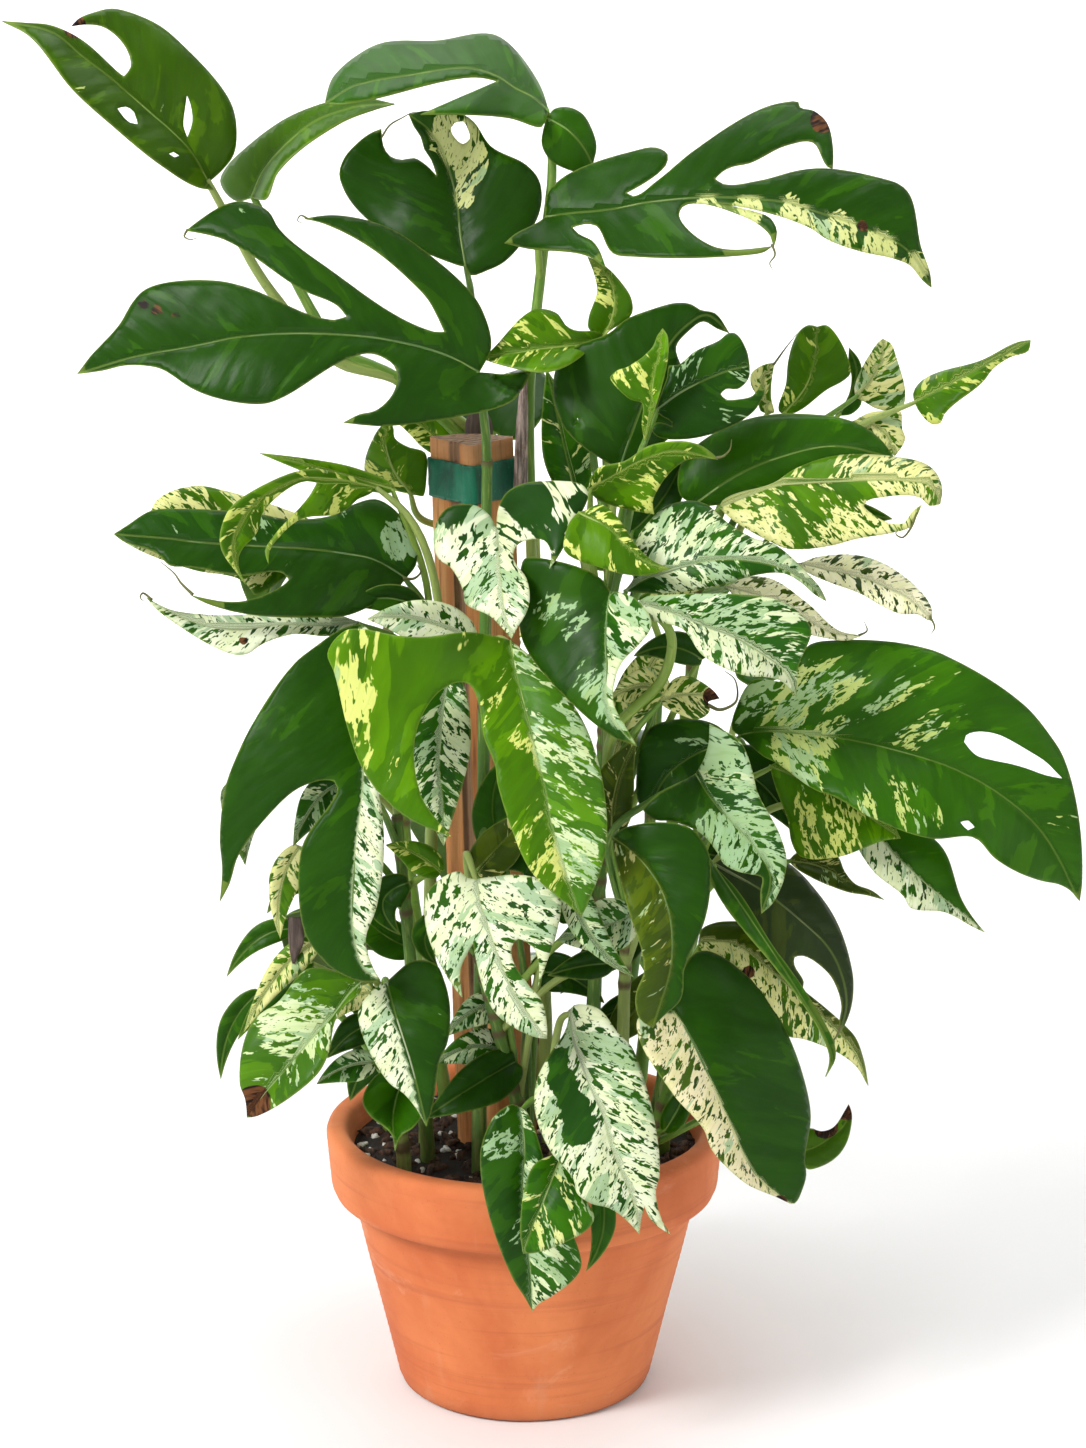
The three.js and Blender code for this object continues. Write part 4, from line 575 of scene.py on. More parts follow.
# a stem's root, its top, and its leaves. A drawn leaf has its look, midrib, two edges and depths of base,
# middle, tip and sides, all as x and height on the board. A rear leaf has its bearing, reach, height, length,
# half width, rise, droop and outline. Foot and via lead the petiole; pale and dry are spots as x, height,
# reach and amount; curls are thin ends; a sheath has two edges, a depth, its bulge and how bleached it is.
stems = [
    {"name": "behind_stake", "root": (-20, 48), "top": (-28, 38, 600),
     "sheath": ((-36, 596, -35, 608, -30, 617), (-19, 596, -20, 608, -27, 617), 24, 3, 0.1),
     "leaves": [
        drawn("bright", (-186, 747, -199, 768, -219, 787, -233, 799, -259, 820, -274, 832, -304, 839),
          (-178, 754, -171, 763, -169, 778, -171, 790, -177, 801, -200, 826, -212, 836, -227, 843, -240, 846,
          -250, 844, -260, 840, -264, 836, -256, 837, -246, 836, -237, 830, -231, 821, -230, 813, -234, 808,
          -256, 827, -266, 833, -277, 837, -289, 838), (-183, 743, -192, 744, -214, 757, -241, 779,
          -264, 800, -289, 831), (-30, -55, -70, -20, -75), via=(-76, 632, 18, -112, 643, 12, -150, 683, -8),
          holes=((-198, 797, -196, 792, -195, 782, -198, 773, -200, 779, -199, 790), (-239, 789, -234, 790,
          -229, 787, -227, 780, -232, 781, -237, 786), (-210, 763, -207, 764, -204, 762, -207, 761)),
          thick=3.7, dry=((-262, 836, 9, 0.8),)),
        drawn("bright", (-161, 738, -154, 753, -143, 766, -124, 781, -100, 790, -76, 792), (-169, 736,
          -176, 741, -179, 748, -175, 756, -167, 764, -141, 783, -119, 792, -105, 795, -91, 795), (-153, 737,
          -145, 753, -108, 781, -87, 789), (0, 10, 15, 40, -20), via=(-76, 632, 18, -112, 650, 14,
          -127, 673, 6), thick=3.8),
        drawn("deepCream", (-35, 698, -38, 716, -40, 736, -44, 753, -49, 768, -57, 778, -68, 786), (-40, 699,
          -88, 722, -100, 733, -106, 742, -109, 752, -106, 761, -100, 768, -91, 775, -84, 778, -83, 768,
          -79, 762, -72, 760, -65, 761, -58, 757, -52, 751, -55, 760, -59, 766, -61, 773, -65, 779),
          (-32, 693, -22, 696, -12, 701, 2, 717, 8, 728, 10, 739, 8, 749, 1, 757, -20, 768, -30, 782,
          -36, 786, -60, 788), (-25, -10, 5, -15, -15), via=(-30, 640, 20, -32, 683, -5), holes=((-41, 781,
          -36, 782, -33, 777, -32, 772, -36, 769, -41, 773, -43, 778),), thick=2.4, pale=((-40, 775, 18,
          0.9), (-33, 757, 14, 0.75), (-36, 738, 8, 0.6)), curls=((0.7, (-84, 773, -79, 780, -72, 784,
          -66, 787, -60, 787)),)),
        drawn("lime", (-68, 563, -78, 576, -83, 590, -84, 606), (-80, 566, -92, 571, -96, 577, -89, 600),
          (-61, 562, -59, 574, -60, 588, -71, 592, -78, 597, -79, 604), (-10, -15, -10, 0, -6),
          via=(-62, 548, 14), height=535),
    ]},
    {"name": "front_of_stake", "root": (-28, -58), "top": (-22, -38, 592), "leaves": [
        drawn("deep", (-27, 636, -44, 645, -62, 651, -86, 656, -106, 658, -137, 659, -168, 657, -200, 651,
          -233, 645, -267, 635), (-20, 651, -25, 672, -32, 683, -63, 710, -77, 719, -93, 725, -114, 728,
          -130, 726, -118, 723, -91, 709, -66, 688, -57, 678, -48, 660, -54, 660, -119, 699, -145, 720,
          -151, 730, -158, 734, -167, 736, -177, 734, -200, 719, -178, 714, -131, 684, -111, 675, -106, 669,
          -113, 667, -168, 687, -184, 690, -216, 688, -226, 684, -232, 678, -241, 664, -259, 645), (-12, 635,
          4, 637, -6, 620, -16, 615, -38, 610, -85, 604, -109, 606, -99, 611, -90, 613, -83, 618, -78, 625,
          -76, 634, -78, 640, -83, 644, -91, 647, -103, 645, -152, 618, -161, 617, -185, 621, -198, 626,
          -217, 638, -227, 640, -239, 640, -252, 637), (-75, -90, -70, -55, -108), via=(-24, 605, -55),
          thick=2.8, dry=((-218, 672, 7, 0.5), (-226, 675, 6, 0.5), (-207, 669, 6, 0.5)), curls=((0.8,
          (-199, 720, -201, 716, -198, 714, -193, 715)), (0.7, (-128, 726, -132, 728, -134, 725,
          -130, 723)))),
        drawn("white", (-17, 542, -16, 533, -15, 520, -14, 508, -12, 493, -8, 475), (-21, 550, -29, 556,
          -38, 557, -46, 555, -51, 550, -54, 543, -55, 536, -54, 528, -51, 523, -45, 519, -37, 504, -36, 497,
          -21, 489, -14, 482), (-16, 554, -12, 563, -7, 567, 1, 570, 23, 571, 34, 569, 38, 564, 33, 550,
          28, 544, 23, 530, 15, 518, 16, 525, 15, 531, 12, 535, 7, 536, 0, 535, -5, 532, -7, 527, -6, 522,
          1, 512, 3, 499, 1, 491, -5, 481), (-86, -124, -140, -92, -120), pale=((-46, 556, 12, -0.8), (4,
          562, 14, -0.8), (32, 556, 10, -0.5))),
        drawn(("lime", "limeSage"), (-9, 474, -6, 458, -2, 441, 3, 422, 8, 401, 13, 380, 16, 362, 21, 345,
          26, 327, 35, 300), (-20, 477, -33, 479, -63, 476, -78, 477, -100, 481, -109, 480, -120, 466,
          -116, 454, -108, 418, -99, 393, -87, 376, -70, 362, -45, 351, -62, 373, -66, 385, -68, 401,
          -67, 414, -63, 427, -57, 437, -50, 444, -41, 448, -34, 447, -29, 438, -25, 414, -18, 395, -17, 386,
          -7, 353, 2, 332, 8, 324, 31, 304), (-1, 468, 8, 460, 22, 444, 35, 425, 43, 405, 49, 378, 50, 344,
          38, 306), (-104, -152, -165, -150, -138), pale=((-104, 440, 16, 0.5), (-62, 430, 34, -0.35), (0,
          400, 14, 0.4), (-12, 390, 20, -0.5), (30, 340, 16, 0.5))),
        drawn("marble", (-45, 456, -50, 430, -52, 400, -50, 370, -50, 345), (-54, 450, -64, 436, -70, 415,
          -71, 400, -69, 386, -55, 355), (-38, 448, -34, 432, -33, 415, -34, 402, -46, 358), (-82, -100,
          -114, -96, -106)),
        leaf("white", (-33, 474, -84), (-64, 486, -94), (-96, 487, -100), 15, 14, "oval"),
    ]},
    {"name": "beside_stake", "root": (15, -8), "top": (3, -8, 560),
     "sheath": ((-7, 566, -6, 590, -4, 618, -1, 636), (2, 566, 2, 590, 2, 618, 1, 636), -13, 3, 1.0),
     "leaves": [
        drawn("plain", (14, 788, 4, 796, -6, 801, -15, 807, -31, 812, -50, 811, -69, 808, -100, 802,
          -117, 792), (10, 800, 3, 812, -9, 826, -17, 831, -25, 832, -50, 828, -81, 827, -92, 823, -112, 807,
          -115, 800), (10, 779, -9, 784, -61, 786, -16, 805, -25, 807, -34, 807, -105, 792), (-5, -30, -75,
          30, -60), via=(3, 630, -8, 10, 700, -8, 16, 755, -8), thick=3.3),
        drawn("plain", (13, 784, 24, 778, 33, 769, 40, 757), (17, 789, 26, 790, 34, 786, 39, 778, 42, 768),
          (11, 778, 10, 769, 15, 760, 24, 755, 33, 753), (-8, -12, -8, -6, -12), foot=(16, 760, -8)),
        drawn("deepCream", (12, 727, 30, 729, 50, 731, 70, 735, 99, 738, 125, 738, 154, 735, 175, 729,
          194, 722, 212, 715, 226, 708, 241, 686), (13, 739, 19, 747, 28, 753, 64, 765, 77, 767, 84, 763,
          83, 757, 60, 741, 64, 739, 78, 748, 99, 765, 138, 789, 153, 793, 160, 793, 161, 790, 169, 788,
          177, 781, 181, 765, 181, 755, 178, 756, 169, 770, 153, 768, 132, 758, 122, 756, 116, 753, 112, 749,
          117, 746, 138, 748, 162, 754, 177, 755, 211, 749, 220, 746, 225, 742, 228, 737, 234, 710,
          240, 694), (8, 724, -6, 717, -12, 712, 0, 709, 38, 704, 48, 697, 45, 706, 40, 713, 32, 717,
          28, 721, 35, 723, 42, 722, 52, 706, 65, 704, 131, 705, 142, 707, 146, 710, 123, 708, 111, 710,
          95, 721, 91, 728, 93, 733, 99, 735, 130, 727, 139, 722, 145, 716, 147, 709, 149, 718, 145, 726,
          139, 729, 112, 735, 133, 732, 168, 721, 179, 714, 199, 707, 218, 703, 228, 699, 236, 690), (-35,
          -70, -75, -20, -95), foot=(9, 690, -8), pale=((108, 731, 11, 0.7), (132, 730, 12, 0.8), (158, 727,
          13, 0.8), (184, 717, 14, 0.9), (209, 708, 12, 0.9), (231, 698, 10, 0.9)), dry=((174, 782, 9, 1),
          (199, 721, 4, 1)), curls=((0.8, (146, 711, 148, 705, 145, 700, 147, 696)),)),
    ]},
    {"name": "right_of_stake", "root": (40, -30), "top": (50, -50, 540), "leaves": [
        drawn("lime", (47, 654, 30, 652, 10, 650, -8, 647, -25, 644), (45, 659, 29, 661, 24, 664, 20, 670,
          13, 673, 6, 673, -1, 669, -17, 652), (41, 651, 29, 642, 21, 638, 10, 636, -16, 641), (-44, -62,
          -66, -50, -84), via=(40, 600, -28)),
        drawn("lime", (46, 656, 52, 668, 53, 682, 47, 695, 37, 704), (38, 662, 38, 668, 43, 684, 41, 694),
          (51, 661, 61, 667, 64, 672, 63, 680, 57, 689, 48, 698), (-36, -44, -44, -38, -52),
          via=(48, 600, -24)),
        drawn("deep", (57, 579, 64, 600, 72, 622, 80, 642, 92, 660, 108, 670, 122, 659), (50, 582, 26, 600,
          19, 614, 17, 628, 20, 641, 30, 651, 50, 659, 60, 667, 75, 673, 91, 677, 99, 676, 104, 673,
          113, 671), (66, 584, 90, 600, 98, 612, 99, 626, 93, 640, 90, 651, 97, 660, 106, 666, 114, 662),
          (-72, -68, -50, -56, -58), holes=((29, 604, 33, 605, 32, 609),)),
        drawn("deepSage", (78, 613, 93, 624, 109, 632, 122, 637, 134, 640), (81, 622, 85, 633, 86, 640,
          91, 640, 101, 648, 116, 655, 121, 659, 125, 659, 132, 649), (82, 610, 88, 606, 88, 604, 79, 606,
          76, 602, 79, 598, 90, 596, 114, 600, 136, 612, 141, 619, 143, 625, 141, 629, 136, 622, 128, 620,
          120, 620, 117, 623, 120, 626, 127, 626, 132, 630, 134, 634), (-84, -84, -76, -76, -90),
          via=(62, 566, -82)),
        drawn("lime", (72, 594, 75, 614, 77, 632, 80, 649, 82, 662), (70, 604, 70, 618, 63, 620, 51, 633,
          55, 637, 61, 639, 76, 651, 79, 658), (75, 604, 85, 657), (-92, -100, -98, -94, -104),
          via=(66, 566, -90)),
        drawn("lime", (38, 566, 55, 576, 72, 585, 90, 590, 116, 584), (40, 574, 44, 579, 60, 583, 74, 592,
          94, 595, 104, 593, 112, 588), (44, 560, 78, 551, 77, 558, 80, 566, 90, 579, 98, 584, 107, 585),
          (-96, -110, -114, -102, -118), curls=((0.9, (115, 585, 119, 586, 123, 590, 124, 596)),)),
        drawn("lime", (32, 552, 48, 544, 62, 531, 74, 522, 88, 518), (38, 554, 45, 557, 51, 554, 71, 528,
          79, 522), (27, 546, 24, 529, 51, 517, 64, 514, 75, 514), (-120, -132, -140, -126, -132)),
        drawn("cream", (117, 555, 134, 562, 151, 568, 169, 570, 201, 571, 234, 570, 244, 567, 250, 557),
          (119, 559, 150, 570, 162, 578, 186, 586, 226, 585, 241, 581, 247, 576, 251, 566), (120, 552,
          126, 547, 149, 534, 159, 530, 185, 532, 200, 536, 223, 540, 232, 543, 239, 557, 233, 552, 229, 546,
          223, 545, 216, 547, 204, 556, 206, 559, 213, 561, 238, 561, 244, 556), (-84, -92, -92, -70, -106),
          pale=((175, 560, 26, -0.2),), curls=((0.9, (236, 552, 233, 543, 228, 537, 224, 539, 225, 542)),)),
        drawn("plain", (102, 557, 125, 573, 152, 585, 185, 592, 222, 585), (94, 562, 92, 572, 95, 583,
          105, 594, 130, 607, 150, 611, 170, 611, 188, 609, 202, 604, 213, 596), (110, 556, 130, 560,
          155, 568, 208, 580), (-60, -68, -60, -50, -66), curls=((0.8, (88, 604, 93, 599, 98, 601)),)),
        leaf("streaked", (31, 560, 22), (22, 598, 30), (13, 638, 26), 14, 15, "oval"),
    ]},
    {"name": "far_right", "root": (70, 15), "top": (112, 12, 540), "leaves": [
        drawn("lime", (155, 611, 168, 628, 173, 645, 174, 663), (152, 613, 156, 629, 157, 642, 160, 654,
          164, 661, 169, 664), (162, 612, 181, 626, 190, 631, 194, 635, 193, 643, 184, 660, 179, 664), (40,
          35, 40, 45, 30)),
        drawn("cream", (146, 611, 144, 622, 143, 633, 149, 642), (141, 613, 139, 621, 135, 629, 135, 635,
          141, 640), (149, 612, 147, 621, 148, 637), (50, 50, 50, 50, 46), curls=((0.8, (148, 640, 155, 650,
          162, 659)),)),
        drawn("cream", (198, 621, 207, 633, 213, 645, 213, 656), (197, 626, 209, 652), (204, 618, 209, 615,
          220, 613, 224, 614, 227, 619, 221, 646, 218, 653), (30, 25, 28, 35, 24)),
        drawn("cream", (200, 609, 210, 603, 217, 597, 222, 586), (206, 612, 225, 612, 226, 602, 228, 597,
          225, 590), (197, 607, 212, 597, 218, 590), (12, 8, 8, 12, 6)),
        drawn("plain", (188, 610, 194, 622, 198, 637, 193, 651), (185, 611, 191, 617, 194, 624, 195, 633,
          193, 643), (195, 611, 201, 617, 200, 629, 201, 638, 199, 644), (45, 48, 50, 46, 46)),
        drawn("lime", (233, 618, 248, 625, 258, 631, 275, 640, 292, 649, 301, 655), (232, 623, 235, 629,
          242, 634, 272, 643, 294, 654), (235, 614, 244, 605, 249, 606, 251, 611, 274, 631, 279, 638,
          289, 645, 300, 649), (0, -10, -15, 10, -22), via=(150, 575, 5, 200, 604, 5)),
        drawn("bleached", (166, 521, 190, 515, 212, 509, 232, 499, 247, 486), (177, 525, 206, 525, 231, 512,
          247, 493), (168, 518, 184, 510, 203, 503, 221, 493, 230, 490, 239, 490, 244, 487), (-60, -70, -75,
          -55, -80), curls=((0.8, (246, 489, 249, 482, 247, 478)),)),
        drawn("bleached", (122, 507, 145, 500, 170, 487, 188, 478, 205, 477), (130, 512, 148, 512, 171, 497,
          191, 480), (128, 500, 165, 480, 186, 475, 196, 474), (-70, -78, -75, -70, -84), curls=((0.8,
          (203, 477, 208, 480, 206, 486)),)),
    ]},
    {"name": "left", "root": (-62, -12), "top": (-54, -28, 475), "leaves": [
        drawn(("deepSage", "deep"), (-72, 512, -81, 518, -93, 524, -108, 527, -124, 529, -150, 531,
          -185, 533, -216, 536, -248, 539), (-66, 520, -65, 530, -71, 544, -80, 555, -90, 560, -100, 558,
          -117, 550, -130, 548, -145, 548, -160, 551, -211, 554, -225, 553, -240, 544), (-78, 505, -90, 497,
          -109, 489, -124, 488, -168, 490, -194, 497, -203, 502, -183, 498, -171, 498, -149, 506, -143, 511,
          -146, 515, -155, 516, -165, 514, -175, 514, -202, 519, -215, 520, -222, 527, -243, 535), (-50, -80,
          -85, -50, -95), pale=((-75, 535, 12, 0.8),), curls=((1.0, (-201, 502, -208, 509, -212, 515,
          -220, 522)), (1.1, (-74, 512, -67, 512, -63, 516, -65, 520)))),
        drawn("cream", (-112, 532, -150, 541, -185, 545, -220, 545, -247, 539), (-125, 545, -150, 556,
          -184, 566, -195, 568, -209, 566, -222, 559, -226, 552, -237, 546), (-125, 526, -164, 502,
          -168, 508, -174, 512, -200, 517, -240, 533), (-30, -55, -70, -40, -70)),
        drawn("lime", (-88, 567, -104, 571, -120, 573, -135, 573, -150, 567, -163, 558, -172, 547, -177, 534,
          -176, 521, -169, 508), (-96, 571, -123, 578, -131, 578, -150, 572, -177, 555, -182, 546, -184, 537,
          -183, 529, -173, 514), (-94, 563, -101, 560, -106, 555, -114, 551, -135, 548, -150, 535, -154, 529,
          -155, 521, -157, 529, -153, 536, -129, 563, -125, 570, -131, 571, -138, 569, -155, 556, -159, 550,
          -160, 544, -163, 538, -170, 531, -173, 525, -173, 519), (-65, -108, -125, -92, -115),
          via=(-52, 490, -45, -60, 530, -55, -72, 552, -60), thick=2.6),
        drawn("white", (-100, 485, -120, 483, -150, 483, -180, 481, -205, 486, -229, 500), (-112, 489,
          -212, 492, -222, 496), (-108, 481, -118, 477, -140, 478, -152, 475, -161, 471, -168, 466,
          -174, 465, -180, 466, -217, 488, -224, 494), (-70, -84, -90, -76, -96), dry=((-171, 473, 4, 0.8),),
          curls=((0.9, (-226, 499, -231, 503, -233, 500, -231, 498)),)),
        leaf("deep", (-64, 494, -62), (-86, 500, -70), (-110, 494, -76), 9, 9, "oval"),
        leaf("lime", (-78, 566, -60), (-118, 577, -74), (-160, 588, -80), 6, 6, "lance"),
    ]},
    {"name": "centre", "root": (36, -58), "top": (48, -72, 405), "leaves": [
        drawn("marble", (60, 504, 75, 512, 95, 519, 120, 523, 145, 521, 165, 513, 183, 498), (66, 512,
          66, 524, 68, 536, 73, 544, 84, 555, 92, 558, 100, 559, 109, 557, 122, 546, 139, 536, 150, 533,
          172, 514, 179, 506), (72, 503, 86, 503, 115, 507, 140, 514, 157, 515, 168, 509, 176, 502), (-106,
          -130, -130, -95, -128)),
        drawn(("marble", "white"), (68, 497, 86, 492, 106, 484, 127, 476, 144, 466, 158, 455, 166, 439),
          (74, 501, 86, 502, 143, 501, 155, 498, 164, 493, 171, 486, 174, 480, 167, 459, 166, 449), (72, 489,
          96, 481, 108, 465, 126, 455, 136, 452, 150, 451, 158, 448), (-122, -156, -156, -150, -165),
          via=(55, 418, -90, 84, 450, -100, 88, 480, -115), thick=3.2),
        drawn(("deep", "marble"), (52, 504, 50, 488, 49, 472, 50, 457, 50, 441, 55, 425, 69, 408), (46, 512,
          12, 524, 0, 524, -3, 512, -4, 498, -3, 483, 0, 471, 33, 431, 55, 414), (60, 503, 70, 497, 77, 484,
          69, 471, 61, 463, 56, 454, 54, 436, 63, 418), (-130, -156, -168, -118, -172), pale=((20, 490, 22,
          0.5), (50, 440, 22, 0.7))),
        drawn("cream", (82, 436, 95, 440, 106, 440, 119, 438), (86, 443, 91, 450, 98, 452, 115, 443),
          (85, 433, 95, 428, 106, 425, 113, 430, 112, 436), (-100, -108, -110, -100, -114), dry=((116, 438,
          9, 1),), curls=((1.2, (112, 434, 119, 431, 127, 434, 130, 441, 128, 450, 122, 455)),)),
        leaf("cream", (84, 440, -84), (70, 445, -86), (51, 436, -88), 14, 12, "oval"),
        leaf("deep", (108, 462, -84), (88, 470, -88), (66, 464, -90), 9, 10, "oval"),
    ]},
    {"name": "lower_left", "root": (-60, -36), "top": (-76, -58, 380),
     "sheath": ((-147, 300, -147, 284, -145, 270), (-139, 300, -137, 286, -143, 270), -86, 2, 0.2),
     "leaves": [
        drawn(("deep", "white"), (-99, 484, -101, 450, -100, 420, -99, 390, -101, 370, -104, 348, -106, 325,
          -107, 300, -105, 282, -100, 267, -90, 259), (-109, 482, -129, 469, -140, 460, -166, 423, -180, 394,
          -184, 382, -188, 350, -187, 330, -189, 310, -183, 321, -177, 339, -153, 370, -142, 380, -132, 385,
          -123, 387, -117, 386, -115, 382, -121, 370, -133, 354, -137, 346, -140, 325, -138, 295, -134, 284,
          -127, 274, -120, 267, -100, 258), (-92, 478, -87, 455, -85, 425, -90, 380, -88, 368, -87, 340,
          -92, 306, -99, 285, -97, 274, -93, 264), (-80, -125, -140, -108, -118)),
        leaf("cream", (-138, 345, -80), (-150, 320, -85), (-152, 286, -85), 10, 9, "lance"),
        leaf("marble", (-112, 384, -85), (-128, 373, -90), (-143, 345, -92), 13, 11, "oval"),
        leaf("lime", (-52, 328, -74), (-68, 340, -72), (-86, 346, -74), 10, 9, "oval"),
        leaf("deep", (-72, 322, -64), (-88, 309, -66), (-77, 288, -70), 12, 11, "oval"),
        leaf("deep", (-126, 330, -72), (-145, 320, -72), (-160, 302, -74), 7, 8, "lance"),
    ]},
    {"name": "right", "root": (86, -20), "top": (108, -42, 370), "leaves": [
        drawn("plain", (131, 415, 142, 417, 157, 417, 176, 415, 199, 412, 226, 406, 258, 396, 289, 380,
          318, 355, 344, 310), (127, 419, 131, 437, 135, 445, 140, 450, 158, 449, 165, 455, 168, 464,
          173, 471, 192, 474, 223, 473, 240, 470, 253, 466, 305, 434, 323, 413, 330, 402, 341, 365,
          345, 320), (136, 411, 146, 402, 154, 398, 180, 380, 190, 377, 210, 365, 251, 350, 276, 351,
          280, 349, 290, 338, 304, 329, 320, 323, 330, 321, 338, 317), (-70, -110, -100, -85, -130),
          holes=((269, 411, 270, 415, 275, 417, 283, 417, 291, 415, 301, 410, 311, 404, 320, 398, 330, 388,
          320, 390, 309, 394, 299, 397, 285, 400, 278, 402, 274, 405), (268, 360, 273, 361, 277, 357,
          273, 355)), pale=((170, 445, 40, 0.5), (240, 440, 40, 0.25), (170, 398, 26, 0.5), (225, 370, 30,
          0.4))),
        drawn("deepSage", (128, 412, 116, 408, 103, 402, 88, 390, 75, 366), (118, 421, 105, 425, 81, 422,
          75, 417, 71, 409, 69, 395, 70, 373), (125, 398, 116, 384, 104, 372, 90, 364), (-90, -92, -96, -82,
          -100), via=(124, 378, -78)),
        drawn("lime", (150, 396, 175, 385, 202, 370, 232, 350), (165, 402, 190, 394, 212, 378, 226, 362),
          (155, 380, 162, 362, 165, 347, 170, 339, 192, 338, 223, 349), (-60, -80, -85, -70, -86)),
        drawn(("plain", "white"), (203, 374, 222, 347, 248, 321, 286, 290), (216, 374, 235, 362, 258, 344,
          271, 311, 278, 300), (200, 362, 204, 348, 216, 329, 235, 313, 239, 306, 261, 303, 278, 294), (-50,
          -75, -80, -65, -85)),
        drawn("olive", (163, 336, 180, 333, 200, 323, 223, 311), (168, 341, 180, 344, 193, 339, 198, 329,
          205, 321, 215, 317), (168, 331, 200, 316, 212, 314), (-50, -55, -55, -50, -60)),
    ]},
    {"name": "middle_right", "root": (58, -50), "top": (60, -86, 330), "leaves": [
        drawn(("deep", "olive"), (54, 351, 68, 340, 82, 322, 90, 300, 91, 270, 80, 228), (60, 356, 76, 360,
          89, 360, 99, 358, 104, 355, 110, 348, 114, 339, 115, 320, 112, 299, 99, 264, 99, 254, 97, 246,
          86, 235), (55, 342, 64, 306, 74, 272, 74, 263, 70, 253, 69, 244, 72, 234), (-130, -160, -165, -150,
          -160)),
        drawn(("sage", "deep"), (105, 391, 113, 378, 125, 363, 142, 344, 152, 326, 147, 302), (110, 400,
          113, 412, 113, 422, 126, 416, 133, 410, 140, 392, 143, 380, 158, 351, 162, 334, 154, 309),
          (95, 385, 82, 378, 73, 368, 80, 362, 90, 361, 109, 353, 119, 341, 123, 334, 132, 329, 147, 325,
          146, 315), (-110, -140, -150, -138, -135), via=(53, 352, -100, 78, 374, -105), pale=((118, 350, 20,
          0.7), (138, 335, 16, 0.6))),
        # this leaf is coloured with painted shade, dark grey-green as if in shadow
        drawn("dusk", (117, 334, 148, 316, 172, 297, 188, 281, 197, 264, 201, 243, 197, 224), (125, 339,
          145, 340, 158, 337, 167, 331, 176, 322, 193, 298, 204, 265, 205, 253, 204, 242, 201, 232),
          (116, 326, 125, 308, 172, 249, 174, 258, 168, 269, 168, 274, 173, 275, 187, 266, 193, 258,
          198, 242, 197, 233), (-95, -110, -100, -88, -112), curls=((0.9, (198, 230, 195, 222, 191, 217)),)),
        drawn("plain", (114, 337, 124, 322, 137, 303, 151, 282, 164, 262, 177, 241, 188, 222, 193, 205,
          189, 196), (118, 332, 132, 317, 156, 279, 165, 267, 189, 229, 194, 218, 195, 208), (114, 327,
          157, 266, 169, 251, 191, 211, 191, 203), (-125, -142, -145, -138, -148)),
        leaf("olive", (54, 352, -90), (56, 383, -94), (69, 414, -92), 15, 12, "oval"),
    ]},
    {"name": "middle", "root": (5, -60), "top": (-28, -80, 300), "leaves": [
        drawn("white", (-30, 324, -27, 308, -23, 295, -18, 280, -13, 266, -6, 251, 3, 237, 14, 221),
          (-36, 325, -40, 329, -48, 327, -56, 321, -61, 313, -62, 302, -61, 292, -57, 279, -45, 256,
          -39, 248, -40, 266, -32, 283, -28, 262, -24, 249, -19, 239, -12, 232, 7, 222), (-25, 325, 3, 326,
          18, 317, 22, 311, 22, 302, 8, 254, 9, 268, 7, 277, 2, 283, -4, 286, -8, 281, -8, 274, 4, 254,
          10, 247, 14, 229), (-130, -155, -160, -140, -145), via=(-36, 340, -105), pale=((-6, 264, 6,
          -0.3),)),
        leaf("olive", (-30, 330, -100), (-12, 350, -105), (10, 372, -108), 12, 14, "oval"),
        leaf("marble", (30, 325, -120), (40, 292, -138), (68, 261, -140), 10, 10, "lance"),
        leaf("marble", (65, 300, -100), (45, 292, -110), (20, 285, -110), 16, 16, "oval"),
        leaf("deep", (55, 270, -90), (35, 268, -98), (14, 262, -102), 9, 9, "lance"),
        leaf("deep", (-6, 206, -70), (-32, 190, -85), (-64, 168, -90), 16, 14, "oval"),
        leaf("marble", (-8, 208, -60), (-32, 215, -65), (-56, 203, -70), 13, 12, "oval"),
        leaf("marble", (-18, 242, -60), (-32, 238, -65), (-50, 222, -70), 10, 10, "oval"),
        leaf("deep", (18, 330, -94), (-2, 346, -98), (-34, 324, -100), 20, 14, "oval"),
        leaf("plain", (-48, 299, -84), (-62, 287, -88), (-54, 268, -90), 9, 9, "oval"),
    ]},
    {"name": "low_left", "root": (-74, -54), "top": (-85, -66, 270), "leaves": [
        drawn("limeSage", (-102, 258, -109, 251, -120, 236, -133, 221, -149, 202, -163, 186, -175, 169),
          (-106, 260, -128, 267, -136, 266, -155, 244, -164, 238, -171, 231, -179, 191, -176, 182),
          (-102, 253, -115, 240, -119, 232, -123, 212, -128, 201, -137, 191, -169, 170), (-95, -120, -120,
          -105, -130), pale=((-140, 232, 26, 0.35), (-130, 250, 20, -0.2)), dry=((-170, 180, 13, 1),)),
        drawn(("white", "deep"), (-86, 258, -82, 241, -77, 224, -72, 207, -66, 182, -62, 163), (-91, 256,
          -98, 249, -104, 239, -103, 229, -100, 219, -85, 192, -76, 185, -69, 176), (-82, 262, -71, 271,
          -63, 272, -55, 269, -50, 258, -47, 244, -47, 229, -49, 217, -53, 209, -58, 177), (-110, -132, -135,
          -125, -120)),
        leaf("plain", (-140, 292, -60), (-165, 286, -65), (-186, 261, -65), 7, 8, "lance"),
        leaf("cream", (-128, 284, -80), (-152, 264, -85), (-176, 225, -88), 9, 9, "lance"),
        leaf("plain", (-132, 272, -70), (-158, 250, -75), (-180, 220, -75), 8, 8, "lance"),
        leaf("plain", (-165, 252, -60), (-184, 228, -62), (-191, 194, -60), 7, 8, "lance"),
        leaf("marble", (-95, 205, -85), (-112, 202, -90), (-131, 191, -90), 10, 9, "oval"),
        leaf("deep", (-94, 231, -74), (-109, 224, -78), (-124, 208, -80), 10, 10, "oval"),
